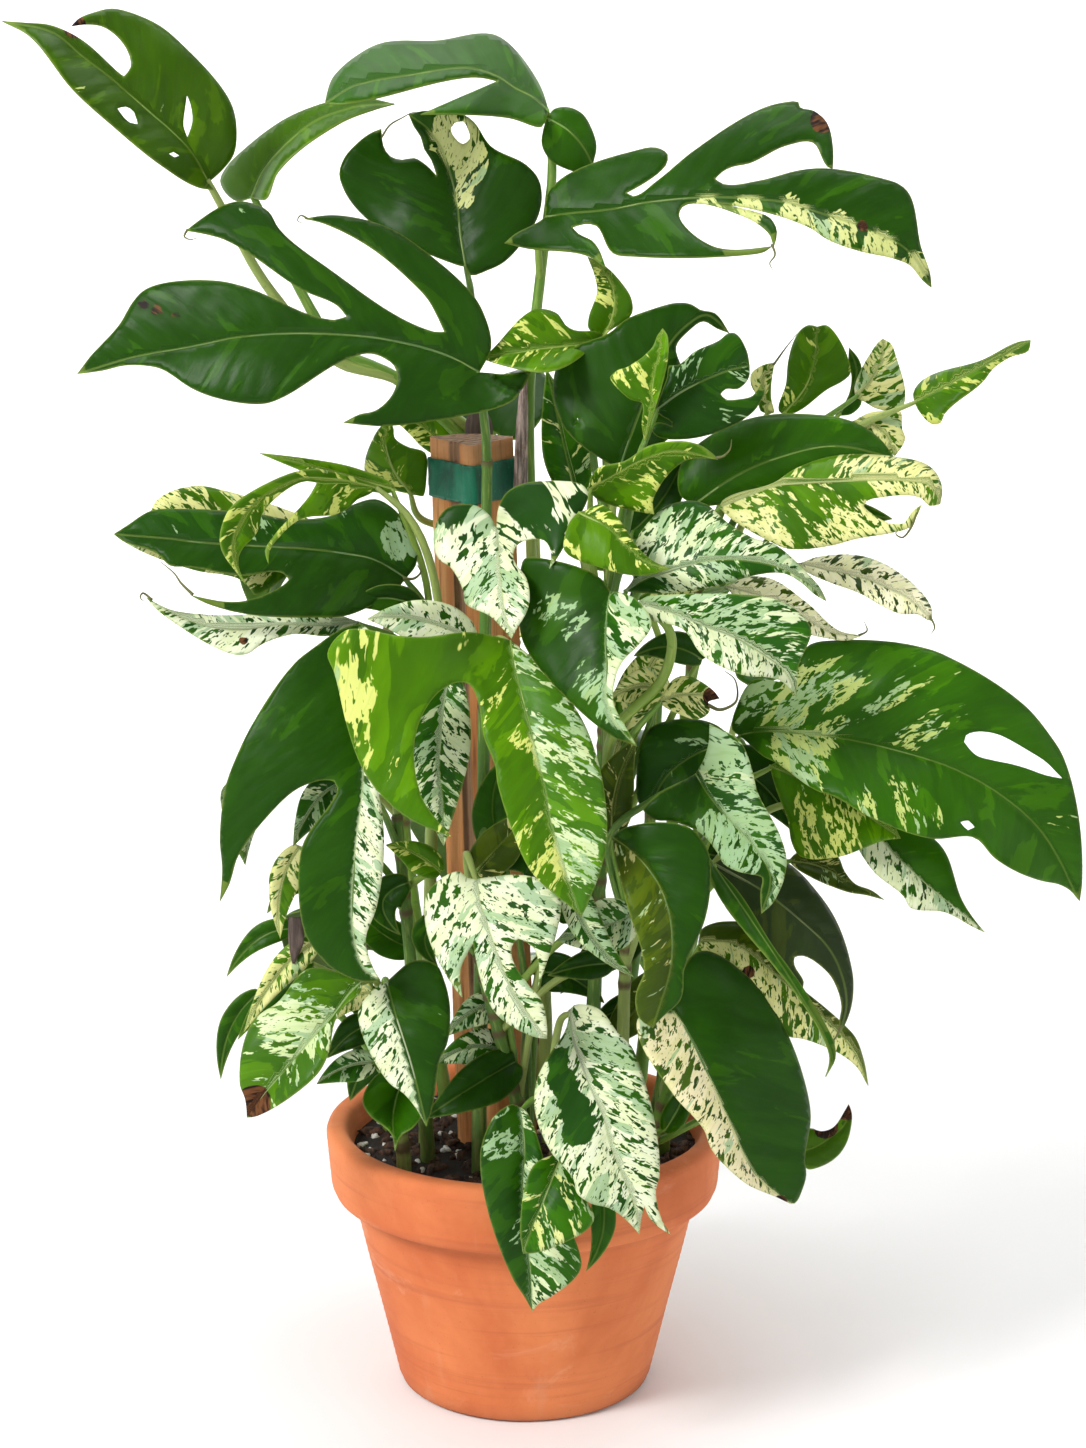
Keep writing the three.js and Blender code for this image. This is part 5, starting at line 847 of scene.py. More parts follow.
        leaf("cream", (-96, 250, -78), (-110, 246, -80), (-123, 230, -82), 8, 9, "oval"),
        drawn("plain", (-74, 198, -80, 185, -83, 170, -82, 147), (-84, 200, -92, 198, -100, 188, -102, 179,
          -98, 171, -84, 158), (-66, 195, -63, 184, -63, 176, -66, 168, -71, 162, -78, 157), (-75, -90, -130,
          -95, -100)),
    ]},
    {"name": "low_right", "root": (74, -52), "top": (98, -74, 250), "leaves": [
        drawn(("olive", "cream"), (108, 284, 130, 282, 155, 263, 180, 240, 203, 217, 216, 190), (110, 292,
          118, 296, 126, 297, 136, 296, 144, 289, 158, 268, 199, 231, 207, 222, 213, 206), (108, 278,
          117, 275, 128, 269, 149, 249, 164, 223, 174, 221, 192, 214, 201, 209, 209, 202), (-80, -88, -84,
          -78, -98), dry=((139, 264, 5, 1),)),
        drawn(("deep", "ivory"), (91, 240, 100, 228, 109, 211, 116, 195, 123, 178, 131, 160, 138, 145,
          147, 130, 155, 122, 168, 112), (93, 249, 101, 271, 107, 277, 113, 278, 123, 274, 136, 264,
          148, 252, 164, 225, 176, 192, 180, 170, 177, 141, 178, 131, 176, 122, 171, 112), (82, 240, 74, 238,
          70, 231, 93, 185, 113, 161, 118, 148, 133, 131, 142, 124, 160, 116), (-110, -140, -125, -100,
          -150), dry=((162, 113, 6, 0.8),)),
        drawn("bright", (173, 146, 184, 150, 193, 156, 202, 165, 204, 178), (176, 156, 180, 162, 187, 160,
          194, 162, 202, 174), (179, 135, 190, 138, 198, 144, 203, 152, 206, 164, 206, 172), (-60, -65, -65,
          -64, -66), via=(140, 176, -62), dry=((190, 163, 9, 1), (203, 174, 8, 1))),
        leaf("plain", (88, 160, -66), (98, 178, -72), (104, 196, -74), 8, 8, "lance"),
    ]},
    {"name": "low_centre", "root": (20, -82), "top": (16, -96, 240), "leaves": [
        drawn("white", (28, 240, 30, 222, 35, 206, 42, 187, 49, 171, 55, 148, 62, 130, 69, 112, 73, 91),
          (31, 243, 40, 243, 47, 240, 59, 224, 66, 217, 71, 206, 82, 165, 85, 129, 83, 121, 87, 101, 93, 91,
          84, 97, 79, 103, 76, 110, 74, 101), (26, 228, 14, 208, 8, 195, 6, 182, 8, 167, 17, 146, 31, 128,
          33, 119, 42, 112, 53, 109, 61, 104, 68, 97), (-120, -150, -155, -140, -150), pale=((20, 208, 8,
          -0.7), (24, 193, 10, -0.8), (30, 176, 11, -0.8), (33, 160, 9, -0.7))),
        drawn(("deepSage", "marble"), (-3, 176, 0, 150, -1, 120, 1, 90, 4, 65, 5, 39), (-8, 178, -14, 175,
          -20, 169, -25, 158, -28, 145, -24, 110, -7, 60, -1, 50), (1, 173, 5, 165, 18, 120, 35, 78, 36, 70,
          33, 63, 17, 49, 9, 44), (-119, -138, -138, -134, -140), pale=((-14, 150, 12, 0.4),)),
        drawn("streaked", (24, 146, 18, 130, 11, 111, 5, 96, -1, 78), (17, 144, 7, 139, 2, 130, -3, 94,
          -2, 84), (28, 140, 35, 119, 40, 112, 44, 103, 42, 97, 17, 82, 8, 79), (-136, -158, -163, -157,
          -157)),
        leaf("plain", (47, 126, -136), (50, 95, -140), (39, 66, -140), 7, 8, "lance"),
    ]},
    {"name": "back_left", "root": (-52, 62), "top": (-88, 92, 470), "bow": (-6, 8), "leaves": [
        rearLeaf("plain", 135, 150, 500, 130, 46, 5, -55, "oval", a=((4, 0.3),)),
        rearLeaf("marble", 140, 160, 360, 125, 45, -10, -65, "heart"),
        rearLeaf("deep", 130, 140, 245, 110, 42, -15, -60, "oval"),
    ]},
    {"name": "back", "root": (10, 72), "top": (6, 112, 540), "bow": (4, 10), "leaves": [
        rearLeaf("deep", 100, 140, 590, 125, 46, 20, -45, "heart"),
        rearLeaf("cream", 98, 165, 440, 130, 48, -5, -60, "oval", b=((5, 0.35),)),
        rearLeaf("plain", 102, 160, 310, 120, 44, -10, -60, "heart"),
        rearLeaf("marble", 96, 145, 215, 90, 32, -5, -45, "oval"),
    ]},
    {"name": "back_right", "root": (58, 60), "top": (88, 96, 460), "bow": (6, 8), "leaves": [
        rearLeaf("marble", 64, 155, 500, 130, 46, 5, -55, "heart"),
        rearLeaf("plain", 60, 165, 370, 125, 45, -10, -65, "oval", a=((5, 0.35),)),
        rearLeaf("lime", 66, 145, 250, 110, 42, -15, -60, "heart"),
    ]},
    {"name": "left_side", "root": (-86, 18), "top": (-122, 38, 380), "leaves": [
        rearLeaf("streaked", 160, 116, 396, 92, 34, 0, -60, "heart"),
        rearLeaf("deep", 152, 104, 290, 92, 34, -10, -65, "oval"),
    ]},
    {"name": "right_side", "root": (84, 26), "top": (128, 52, 380), "leaves": [
        rearLeaf("plain", 28, 165, 430, 120, 42, 0, -60, "oval"),
        rearLeaf("marble", 34, 132, 300, 96, 36, -10, -65, "heart"),
    ]},
]
# small leaves deep inside the plant, behind the others, that only the scene has
inner = [
    ("right_of_stake", leaf("deep", (64, 540, -30), (84, 562, -36), (96, 588, -34), 13, 12, "oval")),
    ("far_right", leaf("plain", (150, 540, -10), (186, 550, -20), (222, 548, -30), 14, 13, "oval")),
    ("far_right", leaf("cream", (112, 520, -6), (92, 512, -10), (64, 498, -14), 12, 12, "oval")),
    ("centre", leaf("cream", (52, 400, -30), (72, 452, -44), (84, 470, -50), 12, 13, "oval")),
    ("right", leaf("deep", (120, 396, -20), (146, 384, -26), (168, 352, -34), 18, 16, "oval")),
    ("right", leaf("deep", (112, 340, -14), (134, 330, -24), (160, 302, -30), 15, 14, "oval")),
    ("middle", leaf("deep", (6, 262, -36), (26, 262, -44), (50, 244, -50), 13, 12, "oval")),
    ("middle", leaf("plain", (20, 300, -30), (32, 324, -40), (36, 360, -44), 12, 12, "oval")),
    ("middle", leaf("plain", (-10, 330, -40), (-20, 372, -50), (-8, 404, -52), 13, 12, "oval")),
    ("low_left", leaf("deep", (-78, 236, -30), (-100, 246, -34), (-118, 268, -34), 12, 12, "oval")),
    ("low_left", leaf("plain", (-70, 280, -30), (-92, 292, -34), (-112, 316, -30), 12, 12, "oval")),
    ("low_right", leaf("deep", (80, 232, -30), (62, 240, -36), (40, 228, -40), 12, 12, "oval")),
    ("right", leaf("deep", (72, 290, -24), (50, 278, -30), (22, 250, -36), 15, 14, "oval")),
    ("low_right", leaf("olive", (84, 262, -40), (68, 238, -50), (44, 212, -54), 14, 13, "oval")),
    ("low_left", leaf("deep", (-84, 222, -30), (-100, 204, -36), (-110, 180, -40), 12, 12, "oval")),
    ("behind_stake", leaf("lime", (-46, 586, 40), (-62, 604, 44), (-86, 612, 40), 10, 10, "oval")),
]


for name, one in inner:
    next(stem for stem in stems if stem["name"] == name)["leaves"].append(one)


def insideRuns(loops, height):  # where a level line is inside the loops
    cuts = []
    for loop in loops:
        for p, q in zip(loop, loop[1:] + loop[:1]):
            if (p.y > height) != (q.y > height):
                cuts.append(p.x + (height - p.y) / (q.y - p.y) * (q.x - p.x))
    cuts.sort()
    return list(zip(cuts[::2], cuts[1::2]))


def finder(points):  # finds how far a place is from the nearest point
    tree = KDTree(len(points))
    for i, p in enumerate(points):
        tree.insert((p.x, p.y, 0), i)
    tree.balance()
    return lambda x, y: tree.find((x, y, 0))[2]


def loopLines(start, count):
    return [(start + i, start + (i + 1) % count) for i in range(count)]


sheetSize = {"short": 70, "shortSpacing": 0.75, "quickSpacing": 1.6, "clear": 0.62, "rows": 0.87}


def sheetOf(one):  # a leaf's points and triangles, flat on its drawing, and each point's way to the edge
    s = sheetSize
    spacing = bladeSize["spacing"] * 1
    if one["length"] < s["short"]:
        spacing *= s["shortSpacing"]
    rib = smoothLine(one["rib"], spacing)
    sides = [smoothLine([one["rib"][0], *edge, one["rib"][-1]], spacing) for edge in one["edges"]]
    loop = sides[0] + sides[1][-2:0:-1]
    holes = [pairs(hole) for hole in one.get("holes", ())]
    holes = [smoothLine([*hole, hole[0]], spacing)[:-1] for hole in holes]
    points = loop + rib[1:-1]
    chain = [0, *range(len(loop), len(points)), len(sides[0]) - 1]
    lines = loopLines(0, len(loop)) + list(zip(chain, chain[1:]))
    for hole in holes:
        lines += loopLines(len(points), len(hole))
        points += hole
    away = finder(points)
    low, high = min(p.y for p in loop), max(p.y for p in loop)
    filling = []
    height, row = low + spacing / 2, 0
    while height < high:
        for left, right in insideRuns([loop, *holes], height):
            x = math.ceil(left / spacing) * spacing + (row % 2) * spacing / 2
            while x < right:
                if away(x, height) > spacing * s["clear"]:
                    filling.append(Vector((x, height)))
                x += spacing
        height += spacing * s["rows"]
        row += 1
    flat, _, faces, *_ = delaunay_2d_cdt(points + filling, lines, [], 1, 1e-4)

    def solid(face):
        middle = sum((flat[i] for i in face), Vector((0, 0))) / 3
        return any(a < middle.x < b for a, b in insideRuns([loop, *holes], middle.y))
    faces = [tuple(face) for face in faces if not holes or solid(face)]
    toEdge = finder(loop)
    return flat, faces, [toEdge(p.x, p.y) for p in flat]


def upward(points, faces):
    normals = [Vector((0, 0, 0)) for _ in points]
    for a, b, c in faces:
        normal = (points[b] - points[a]).cross(points[c] - points[a])
        for i in (a, b, c):
            normals[i] += normal
    return [n.normalized() if n.length > 1e-9 else Vector((0, -1, 0)) for n in normals]


relief = {"vein": 12.5, "puff": 0.42, "swell": 1.5, "ripple": 0.5, "channel": 0.7}


def rise(vein, gap, p):  # how far a leaf's surface stands over its plain sheet
    far, out, seed = vein
    inside = ease(gap, 0, 7)
    shift = noise.noise(Vector((far * 0.04, out * 0.03, seed))) * 2.4
    puff = abs(math.sin(math.pi * far / relief["vein"] + shift)) ** 1.3 * ease(out, 1, 9) * inside
    swell = noise.noise(p * 0.03 + Vector((seed, 0, 0))) * ease(gap, 0, 12)
    ripple = noise.noise(p * 0.09 + Vector((0, seed, 0))) * inside
    channel = ease(out, 0, 6) * ease(gap, 0, 3)
    return (puff * relief["puff"] + swell * relief["swell"] + ripple * relief["ripple"]
            + channel * relief["channel"])


def spots(p, rows, inner, outer):  # how much of each spot reaches a point
    return [amount * (1 - ease(math.hypot(p.x - x, p.y - z), reach * inner, reach * outer))
            for x, z, reach, amount in rows]


def looksOf(one):  # one look, or one for each half
    return [looks[name] for name in (one["look"] if isinstance(one["look"], tuple) else [one["look"]] * 2)]


def addBlade(build, one):
    flat, faces, toEdge = sheetOf(one)
    kinds = looksOf(one)
    points = [one["lift"](p) for p in flat]
    marks = {key: [] for key in ("vein", "tone", "cream", "cover", "sage", "rim", "dry")}
    shade = 0.85 + 0.3 * ((one["number"] * 0.618) % 1)
    for p, gap in zip(flat, toEdge):
        side, t, out = one["read"](p)
        kind = kinds[side]
        marks["vein"].append((t * one["length"] - 0.8 * out + side * 400, out, one["number"] * 3.17))
        marks["tone"].append(tuple(part * shade for part in kind["tone"][:3]) + (1,))
        marks["cream"].append(kind["cream"])
        marks["cover"].append(clamp(kind["cover"] + sum(spots(p, one.get("pale", ()), 0.5, 1.3))))
        marks["sage"].append(kind["sage"])
        marks["rim"].append(1 - ease(gap, 0.2, 2.6))
        marks["dry"].append(max([0, *spots(p, one.get("dry", ()), 0.4, 1.25)]))
    unit = upward(points, faces)
    if sum(n.dot(one["facing"]) for n in unit) < 0:
        faces = [face[::-1] for face in faces]
        unit = [-n for n in unit]
    points = [p + n * rise(vein, gap, p) for p, n, vein, gap in zip(points, unit, marks["vein"], toEdge)]
    unit = upward(points, faces)
    border = set()
    for a, b, c in faces:
        for i, j in ((a, b), (b, c), (c, a)):
            if (j, i) in border:
                border.remove((j, i))
            else:
                border.add((i, j))
    half = bladeSize["thick"] / 2
    count = len(points)
    both = [(p + n * side * half) * mm for side in (1, -1) for p, n in zip(points, unit)]
    skin = faces + [(a + count, c + count, b + count) for a, b, c in faces]
    skin += [(j, i, i + count, j + count) for i, j in sorted(border)]
    doubled = {key: values * 2 for key, values in marks.items()}
    build.add(both, skin, 0, under=[0.0] * count + [1.0] * count, **doubled)


# stems and petioles

stemSize = {"root": 4.6, "top": 3.1, "sides": 12, "buried": 30, "foot": 163, "nodeSpacing": 12,
            "steps": 40, "ring": 0.16, "ringReach": 3.2, "tip": 0.6, "swell": 0.06}
petioleSize = {"stem": 2.3, "blade": 1.05, "least": 0.55, "sides": 9, "sunk": 2, "steps": 10, "rise": 0.55,
               "underTop": 3, "overFoot": 8, "straight": 12, "bow": 0.15, "dryness": 0.08}
midribSize = {"share": 0.9, "wide": 0.9, "taper": 0.7, "sunk": 0.25, "sides": 6, "reach": 2}
curlSize = {"steps": 8, "sides": 7, "taper": 0.8, "tone": hue(86, 92, 40), "dryness": 0.5}
stemTones = [hue(96, 138, 40), hue(78, 118, 34), hue(126, 156, 58), hue(140, 158, 80)]
barkSlot, huskSlot = 1, 2


def through(points, steps):  # a smooth curve through all the points
    points = [points[0] * 2 - points[1], *points, points[-1] * 2 - points[-2]]
    run = []
    for i in range(len(points) - 3):
        p = points[i:i + 4]
        t = [0]
        for a, b in zip(p, p[1:]):
            t.append(t[-1] + max((b - a).length, 1e-6) ** 0.5)
        for k in range(steps):
            s = t[1] + (t[2] - t[1]) * k / steps

            def blend(row, wide):  # each pair of a row, mixed at s
                return [row[j] * ((t[j + wide] - s) / (t[j + wide] - t[j]))
                        + row[j + 1] * ((s - t[j]) / (t[j + wide] - t[j])) for j in range(len(row) - 1)]
            b = blend(blend(p, 1), 2)
            run.append(b[0] * ((t[2] - s) / (t[2] - t[1])) + b[1] * ((s - t[1]) / (t[2] - t[1])))
    return run + [points[-2]]


def rings(rows, count, start=0):  # faces between closed rows of points
    faces = []
    for i in range(rows - 1):
        for k in range(count):
            a, b = start + i * count + k, start + i * count + (k + 1) % count
            faces.append((a, b, b + count, a + count))
    return faces


def turned(faces):
    return [(a, d, c, b) for a, b, c, d in faces]


def addTube(build, run, radii, sides, tone, dry, seed):
    points, veins, dries = [], [], []
    normal = None
    travelled = 0
    for i, here in enumerate(run):
        heading = (run[min(i + 1, len(run) - 1)] - run[max(i - 1, 0)]).normalized()
        if normal is None:
            normal = Vector((1, 0, 0)) if abs(heading.z) > 0.9 else Vector((0, 0, 1))
        normal = (normal - heading * normal.dot(heading)).normalized()
        across = heading.cross(normal)
        if i:
            travelled += (here - run[i - 1]).length
        for k in range(sides):
            angle = 2 * math.pi * k / sides
            spoke = normal * math.cos(angle) + across * math.sin(angle)
            swell = 1 + stemSize["swell"] * noise.noise(here * 0.16 + spoke * 1.2 + Vector((seed, 0, 0)))
            points.append((here + spoke * radii[i] * swell) * mm)
            veins.append((travelled, k * 8 / sides, seed))
            dries.append(dry[i] if isinstance(dry, list) else dry)
    last = (len(run) - 1) * sides
    ends = [tuple(range(sides))[::-1], tuple(last + k for k in range(sides))]
    build.add(points, rings(len(run), sides) + ends, barkSlot, vein=veins, tone=tone, dry=dries)


def stemCurve(stem):
    x, y = stem["root"]
    foot, top = Vector((x, y, stemSize["foot"])), Vector(stem["top"])
    middle = (foot + top) / 2 + Vector((*stem.get("bow", (0, 0)), 0))
    return through([foot, middle, top], stemSize["steps"])


def petioleFoot(stem, one, run):
    s = petioleSize
    away = math.hypot(one["base"].x - stem["top"][0], one["base"].y - stem["top"][1])
    wanted = one.get("height", one["base"].z - s["rise"] * away)
    highest = stem["top"][2] - s["underTop"] - stemSize["nodeSpacing"] * stem["leaves"].index(one)
    level = max(run[0].z + s["overFoot"], min(highest, wanted))
    return min(run, key=lambda p: abs(p.z - level))


def petiolePath(stem, one, run):
    foot = onBoard(one["foot"]) if "foot" in one else petioleFoot(stem, one, run)
    reach = (one["base"] - foot).length
    path = [foot]
    if "via" in one:
        path += [onBoard(p) for p in pairs(one["via"], 3)]
    elif reach > petioleSize["straight"]:
        up = Vector((0, 0, petioleSize["bow"] * reach))
        path.append((foot + one["base"]) / 2 + up - one["start"] * 0.05 * reach)
    return path + [one["ribAt"](petioleSize["sunk"])]


sheathSize = {"spacing": 2.5, "columns": 7, "thick": 0.6, "crease": 0.8}


def addSheath(build, left, right, depth, bulge, bleached):
    s = sheathSize
    columns = s["columns"]
    left, right = [smoothLine(pairs(side), s["spacing"]) for side in (left, right)]
    rows = min(len(left), len(right))
    sheet, faces = [], []
    for layer in (0.0, s["thick"]):
        for i in range(rows):
            for k in range(columns):
                share = k / (columns - 1)
                p, q = [side[i * (len(side) - 1) // (rows - 1)] for side in (left, right)]
                p = p.lerp(q, share)
                crease = s["crease"] * noise.noise(Vector((share * 5, i * 0.25, depth)))
                out = 4 * share * (1 - share) * bulge + crease
                sheet.append(onBoard((p.x, p.y, depth - out + layer)) * mm)
    size = rows * columns
    for i in range(rows - 1):
        for k in range(columns - 1):
            a = i * columns + k
            faces.append((a, a + 1, a + 1 + columns, a + columns))
            faces.append(tuple(size + j for j in faces[-1][::-1]))
    rim = [*range(columns), *range(2 * columns - 1, size, columns), *range(size - 2, size - columns - 1, -1),
           *range(size - 2 * columns, 0, -columns)]
    faces += [(b, a, a + size, b + size) for a, b in zip(rim, rim[1:] + rim[:1])]
    build.add(sheet, faces, huskSlot, vein=(0.0, 0.0, 0.0), tone=hue(120, 90, 70), dry=bleached)


def addMidrib(build, one):
    s = midribSize
    line = one["line"][:max(4, int(len(one["line"]) * s["share"]))]
    lift = one["lift"]
    run = []
    for i, p in enumerate(line):
        heading = (line[min(i + 1, len(line) - 1)] - line[max(i - 1, 0)]).normalized() * s["reach"]
        across = Vector((-heading.y, heading.x))
        here = lift(p)
        normal = (lift(p + heading) - here).cross(lift(p + across) - here).normalized()
        run.append(here - normal * s["sunk"] * (1 if normal.dot(one["facing"]) > 0 else -1))
    radii = [petioleSize["blade"] * (s["wide"] - s["taper"] * i / len(run)) for i in range(len(run))]
    kind = looksOf(one)[0]
    share = 0.25 + 0.6 * kind["cover"]
    tone = [a * 1.9 * (1 - share) + b * share * 0.62 for a, b in zip(kind["tone"][:3], kind["cream"])]
    addTube(build, run, radii, s["sides"], (*tone, 1), 0.0, one["number"] * 1.1)


def makeStem(stem):
    build = Build()
    node = "leafy_stem_" + stem["name"]
    run = stemCurve(stem)
    foot = run[0].copy()
    foot.z = soilTop - stemSize["buried"]
    whole = [foot, *run]
    number = len(node)
    levels = [petioleFoot(stem, one, run).z for one in stem["leaves"] if "foot" not in one]
    radii, dries = [], []
    for i, p in enumerate(whole):
        base = stemSize["root"] + (stemSize["top"] - stemSize["root"]) * i / (len(whole) - 1)
        ring = max([0, *(math.exp(-((p.z - level) / stemSize["ringReach"]) ** 2) for level in levels)])
        radii.append(base * (1 + stemSize["ring"] * ring))
        dries.append(0.25 + 0.5 * ring + 0.3 * clamp((230 - p.z) / 80))
    radii[-1] *= stemSize["tip"]
    addTube(build, whole, radii, stemSize["sides"], stemTones[number % 4], dries, number * 1.7)
    for one in stem["leaves"]:
        fine = through(petiolePath(stem, one, run), petioleSize["steps"])
        thick = one.get("thick", petioleSize["stem"])
        thin = max(petioleSize["blade"], petioleSize["least"] * thick)
        radii = [thick + (thin - thick) * (i / (len(fine) - 1)) ** 4 for i in range(len(fine))]
        tone = stemTones[(one["number"] + number) % 4]
        addTube(build, fine, radii, petioleSize["sides"], tone, petioleSize["dryness"],
                one["number"] * 2.3)
        addBlade(build, one)
        addMidrib(build, one)
    c = curlSize
    for index, one in enumerate(stem["leaves"]):
        for radius, points in one.get("curls", ()):
            run = through([one["lift"](Vector(p)) for p in pairs(points)], c["steps"])
            radii = [radius * (1 - c["taper"] * i / len(run)) for i in range(len(run))]
            addTube(build, run, radii, c["sides"], c["tone"], c["dryness"], index)
    if "sheath" in stem:
        addSheath(build, *stem["sheath"])
    title = "leafyStem" + stem["name"].title().replace("_", "")
    return settle(build.piece(title, foliage, stemSkin, husk), node)


for stem in stems:
    makeStem(stem)
print("leafy stems made")


# pot

potSize = {"height": 168, "rimRadius": 125, "bandHeight": 44, "bandFoot": 114, "neckRadius": 108.5,
           "baseRadius": 81, "footRound": 6, "floor": 12, "innerRim": 112, "innerBase": 72, "drainRadius": 6,
           "drainRing": 36, "drainRounds": 32, "rounds": 144, "spacing": 2.6, "thrown": 0.28, "sunk": 0.25}


def lathe(profile, rounds, shift=lambda r, z, angle: 0):
    points = []
    for r, z in profile:
        for k in range(rounds):
            angle = 2 * math.pi * k / rounds
            out = r + shift(r, z, angle)
            points.append(Vector((out * math.cos(angle), out * math.sin(angle), z)) * mm)
    return points, rings(len(profile), rounds)


def potInside(z):  # the radius of the pot's hollow at a height
    s = potSize
    return s["innerBase"] + (s["innerRim"] - s["innerBase"]) * (z - s["floor"]) / (s["height"] - s["floor"])


def finer(points, spacing):  # a line in short steps, without its last point
    line = []
    for (x0, y0), (x1, y1) in zip(points, points[1:]):
        steps = max(1, round(math.hypot(x1 - x0, y1 - y0) / spacing))
        line += [(x0 + (x1 - x0) * k / steps, y0 + (y1 - y0) * k / steps) for k in range(steps)]
    return line


def makePot():
    s = potSize
    band, top, rim, floor = s["height"] - s["bandHeight"], s["height"], s["rimRadius"], s["floor"]
    corners = [(0.5, 0), (s["baseRadius"] - s["footRound"], 0), (s["baseRadius"] - 1.8, 1.8),
               (s["baseRadius"], s["footRound"]), (s["neckRadius"], band - 2), (s["bandFoot"], band),
               (rim - 5, band + 3), (rim - 3, band + 7), (rim, top - 4), (rim - 1.2, top - 1.2),
               (rim - 4, top), (s["innerRim"] + 2.5, top), (s["innerRim"], top - 2.5),
               (potInside(soilTop), soilTop), (potInside(floor), floor), (0.5, floor)]
    profile = finer(corners, s["spacing"]) + corners[-1:]

    def shift(r, z, angle):
        if r < 60:
            return 0
        ring = math.sin(z * 1.25 + 2 * noise.noise(Vector((0, 0, z * 0.11)))) * 0.5
        lump = noise.noise(Vector((math.cos(angle) * 2.2, math.sin(angle) * 2.2, z * 0.03)))
        return s["thrown"] * (ring + lump) - s["sunk"]
    points, faces = lathe(profile, s["rounds"], shift)
    last = len(points) - s["rounds"]
    faces += [tuple(range(s["rounds"]))[::-1], tuple(range(last, len(points)))]
    damp = []
    for p in points:
        z = p.z / mm
        # darker towards the bottom, and painted shade just under the overhanging rim band
        underBand = clamp((band + 1 - z) * 0.5) * clamp((z - band + 8) * 0.3)
        damp.append(clamp((14 - z) / 14) * 0.5 + 0.25 * underBand)
    build = Build()
    build.add(points, faces, damp=damp)
    pot = build.piece("terracottaPot", terracotta)
    for degrees in (90, 210, 330):
        angle = math.radians(degrees)
        place = Vector((math.cos(angle), math.sin(angle), 0)) * s["drainRing"] * mm
        section = [(0.01, -5), (s["drainRadius"], -5), (s["drainRadius"], floor + 5), (0.01, floor + 5)]
        points, faces = lathe(section, s["drainRounds"])
        build = Build()
        build.add([p + place for p in points], faces)
        tool = build.piece("drainCutter", terracotta)
        cut = pot.modifiers.new("drain", "BOOLEAN")
        cut.operation = "DIFFERENCE"
        cut.object = tool
        with bpy.context.temp_override(object=pot, active_object=pot, selected_objects=[pot]):
            bpy.ops.object.modifier_apply(modifier="drain")
        bpy.data.objects.remove(tool)
    return settle(pot, "pot")

makePot()
print("pot made")


# soil: a crumbly top on a plain body, with bark chips and perlite lying in it

soilSize = {"crown": 4, "low": 12.4, "gap": 0.4, "rings": 46, "rounds": 120, "sunk": 0.8, "seed": 11,
            "lump": 1.5, "chips": 520, "beads": 190, "chunkRings": 5,
            "chunkRounds": 8, "within": 0.985, "crumple": 0.45}
# size, flatness and slimness of a bark chip and of a perlite bead, least and most
chipSizes = ((1.8, 6.5), (0.25, 0.6), (0.35, 0.8))
beadSizes = ((1.1, 2.6), (0.7, 1), (0.75, 1))


def makeSoil():
    s = soilSize
    random.seed(s["seed"])
    edge = potInside(soilTop) - s["gap"]

    def level(x, y):
        r = math.hypot(x, y) / edge
        lump = noise.fractal(Vector((x, y, 0)) * 0.09, 0.9, 2.1, 4) * s["lump"]
        return soilTop + s["crown"] * (1 - r * r) - s["sunk"] + lump * (1 - 0.5 * r)

    def circle(r, shift=0.0):
        for k in range(s["rounds"]):
            angle = 2 * math.pi * (k + shift) / s["rounds"]
            yield r * math.cos(angle), r * math.sin(angle)
    points = []
    for i in range(s["rings"] + 1):
        points += [Vector((x, y, min(level(x, y), soilTop + s["crown"] + 2))) * mm
                   for x, y in circle(edge * i / s["rings"], 0.5 * (i % 2))]
    for r in (potInside(s["low"]) - s["gap"], 0):
        points += [Vector((x, y, s["low"])) * mm for x, y in circle(r)]
    build = Build()
    build.add(points, turned(rings(s["rings"] + 3, s["rounds"])), kind=0.0)
    for n in range(s["chips"] + s["beads"]):
        bead = n >= s["chips"]
        r = edge * math.sqrt(random.random()) * s["within"]
        angle = random.random() * 2 * math.pi
        x, y = r * math.cos(angle), r * math.sin(angle)
        size, flat, slim = [random.uniform(*span) for span in (beadSizes if bead else chipSizes)]
        turn = Quaternion((random.uniform(-0.5, 0.5), random.uniform(-0.5, 0.5), 1), random.random() * 6.28)
        size = min(size, (edge - r) + 1.2)
        chunk = []
        for i in range(s["chunkRings"] + 1):
            polar = math.pi * i / s["chunkRings"]
            for k in range(s["chunkRounds"]):
                around = 2 * math.pi * k / s["chunkRounds"]
                flatly = math.sin(polar)
                way = Vector((flatly * math.cos(around), flatly * math.sin(around), math.cos(polar)))
                grow = 1 + s["crumple"] * noise.noise(way * 1.4 + Vector((n * 3.1, 0, 0)))
                local = Vector((way.x * size, way.y * size * slim, way.z * size * flat)) * grow
                middle = Vector((x, y, level(x, y) + size * flat * random.uniform(0.2, 0.21)))
                chunk.append((turn @ local + middle) * mm)
        build.add(chunk, turned(rings(s["chunkRings"] + 1, s["chunkRounds"])), kind=1.0 if bead else 0.5)
    return settle(build.piece("pottingSoil", soilMix), "soil")


makeSoil()
print("soil made")


# stake and tape

stakeSize = {"half": 27, "chamfer": 2, "wane": 7, "foot": 42, "top": 598, "x": -13.2, "y": -4, "lean": 0.0337,
             "groove": 2, "grooveLeft": -13, "grooveRight": -8.5, "grooveEnd": -7, "fibre": 0.35, "drop": 3,
             "rows": 150, "spacing": 1.6, "weathered": 560, "endLoops": (0.97, 0.8, 0.55, 0.3, 0.02)}
tapeSize = {"low": 563, "high": 586, "off": 0.5, "thick": 0.7, "wrinkle": 0.35, "dip": 0.9, "rows": 16,
            "spacing": 1.3}


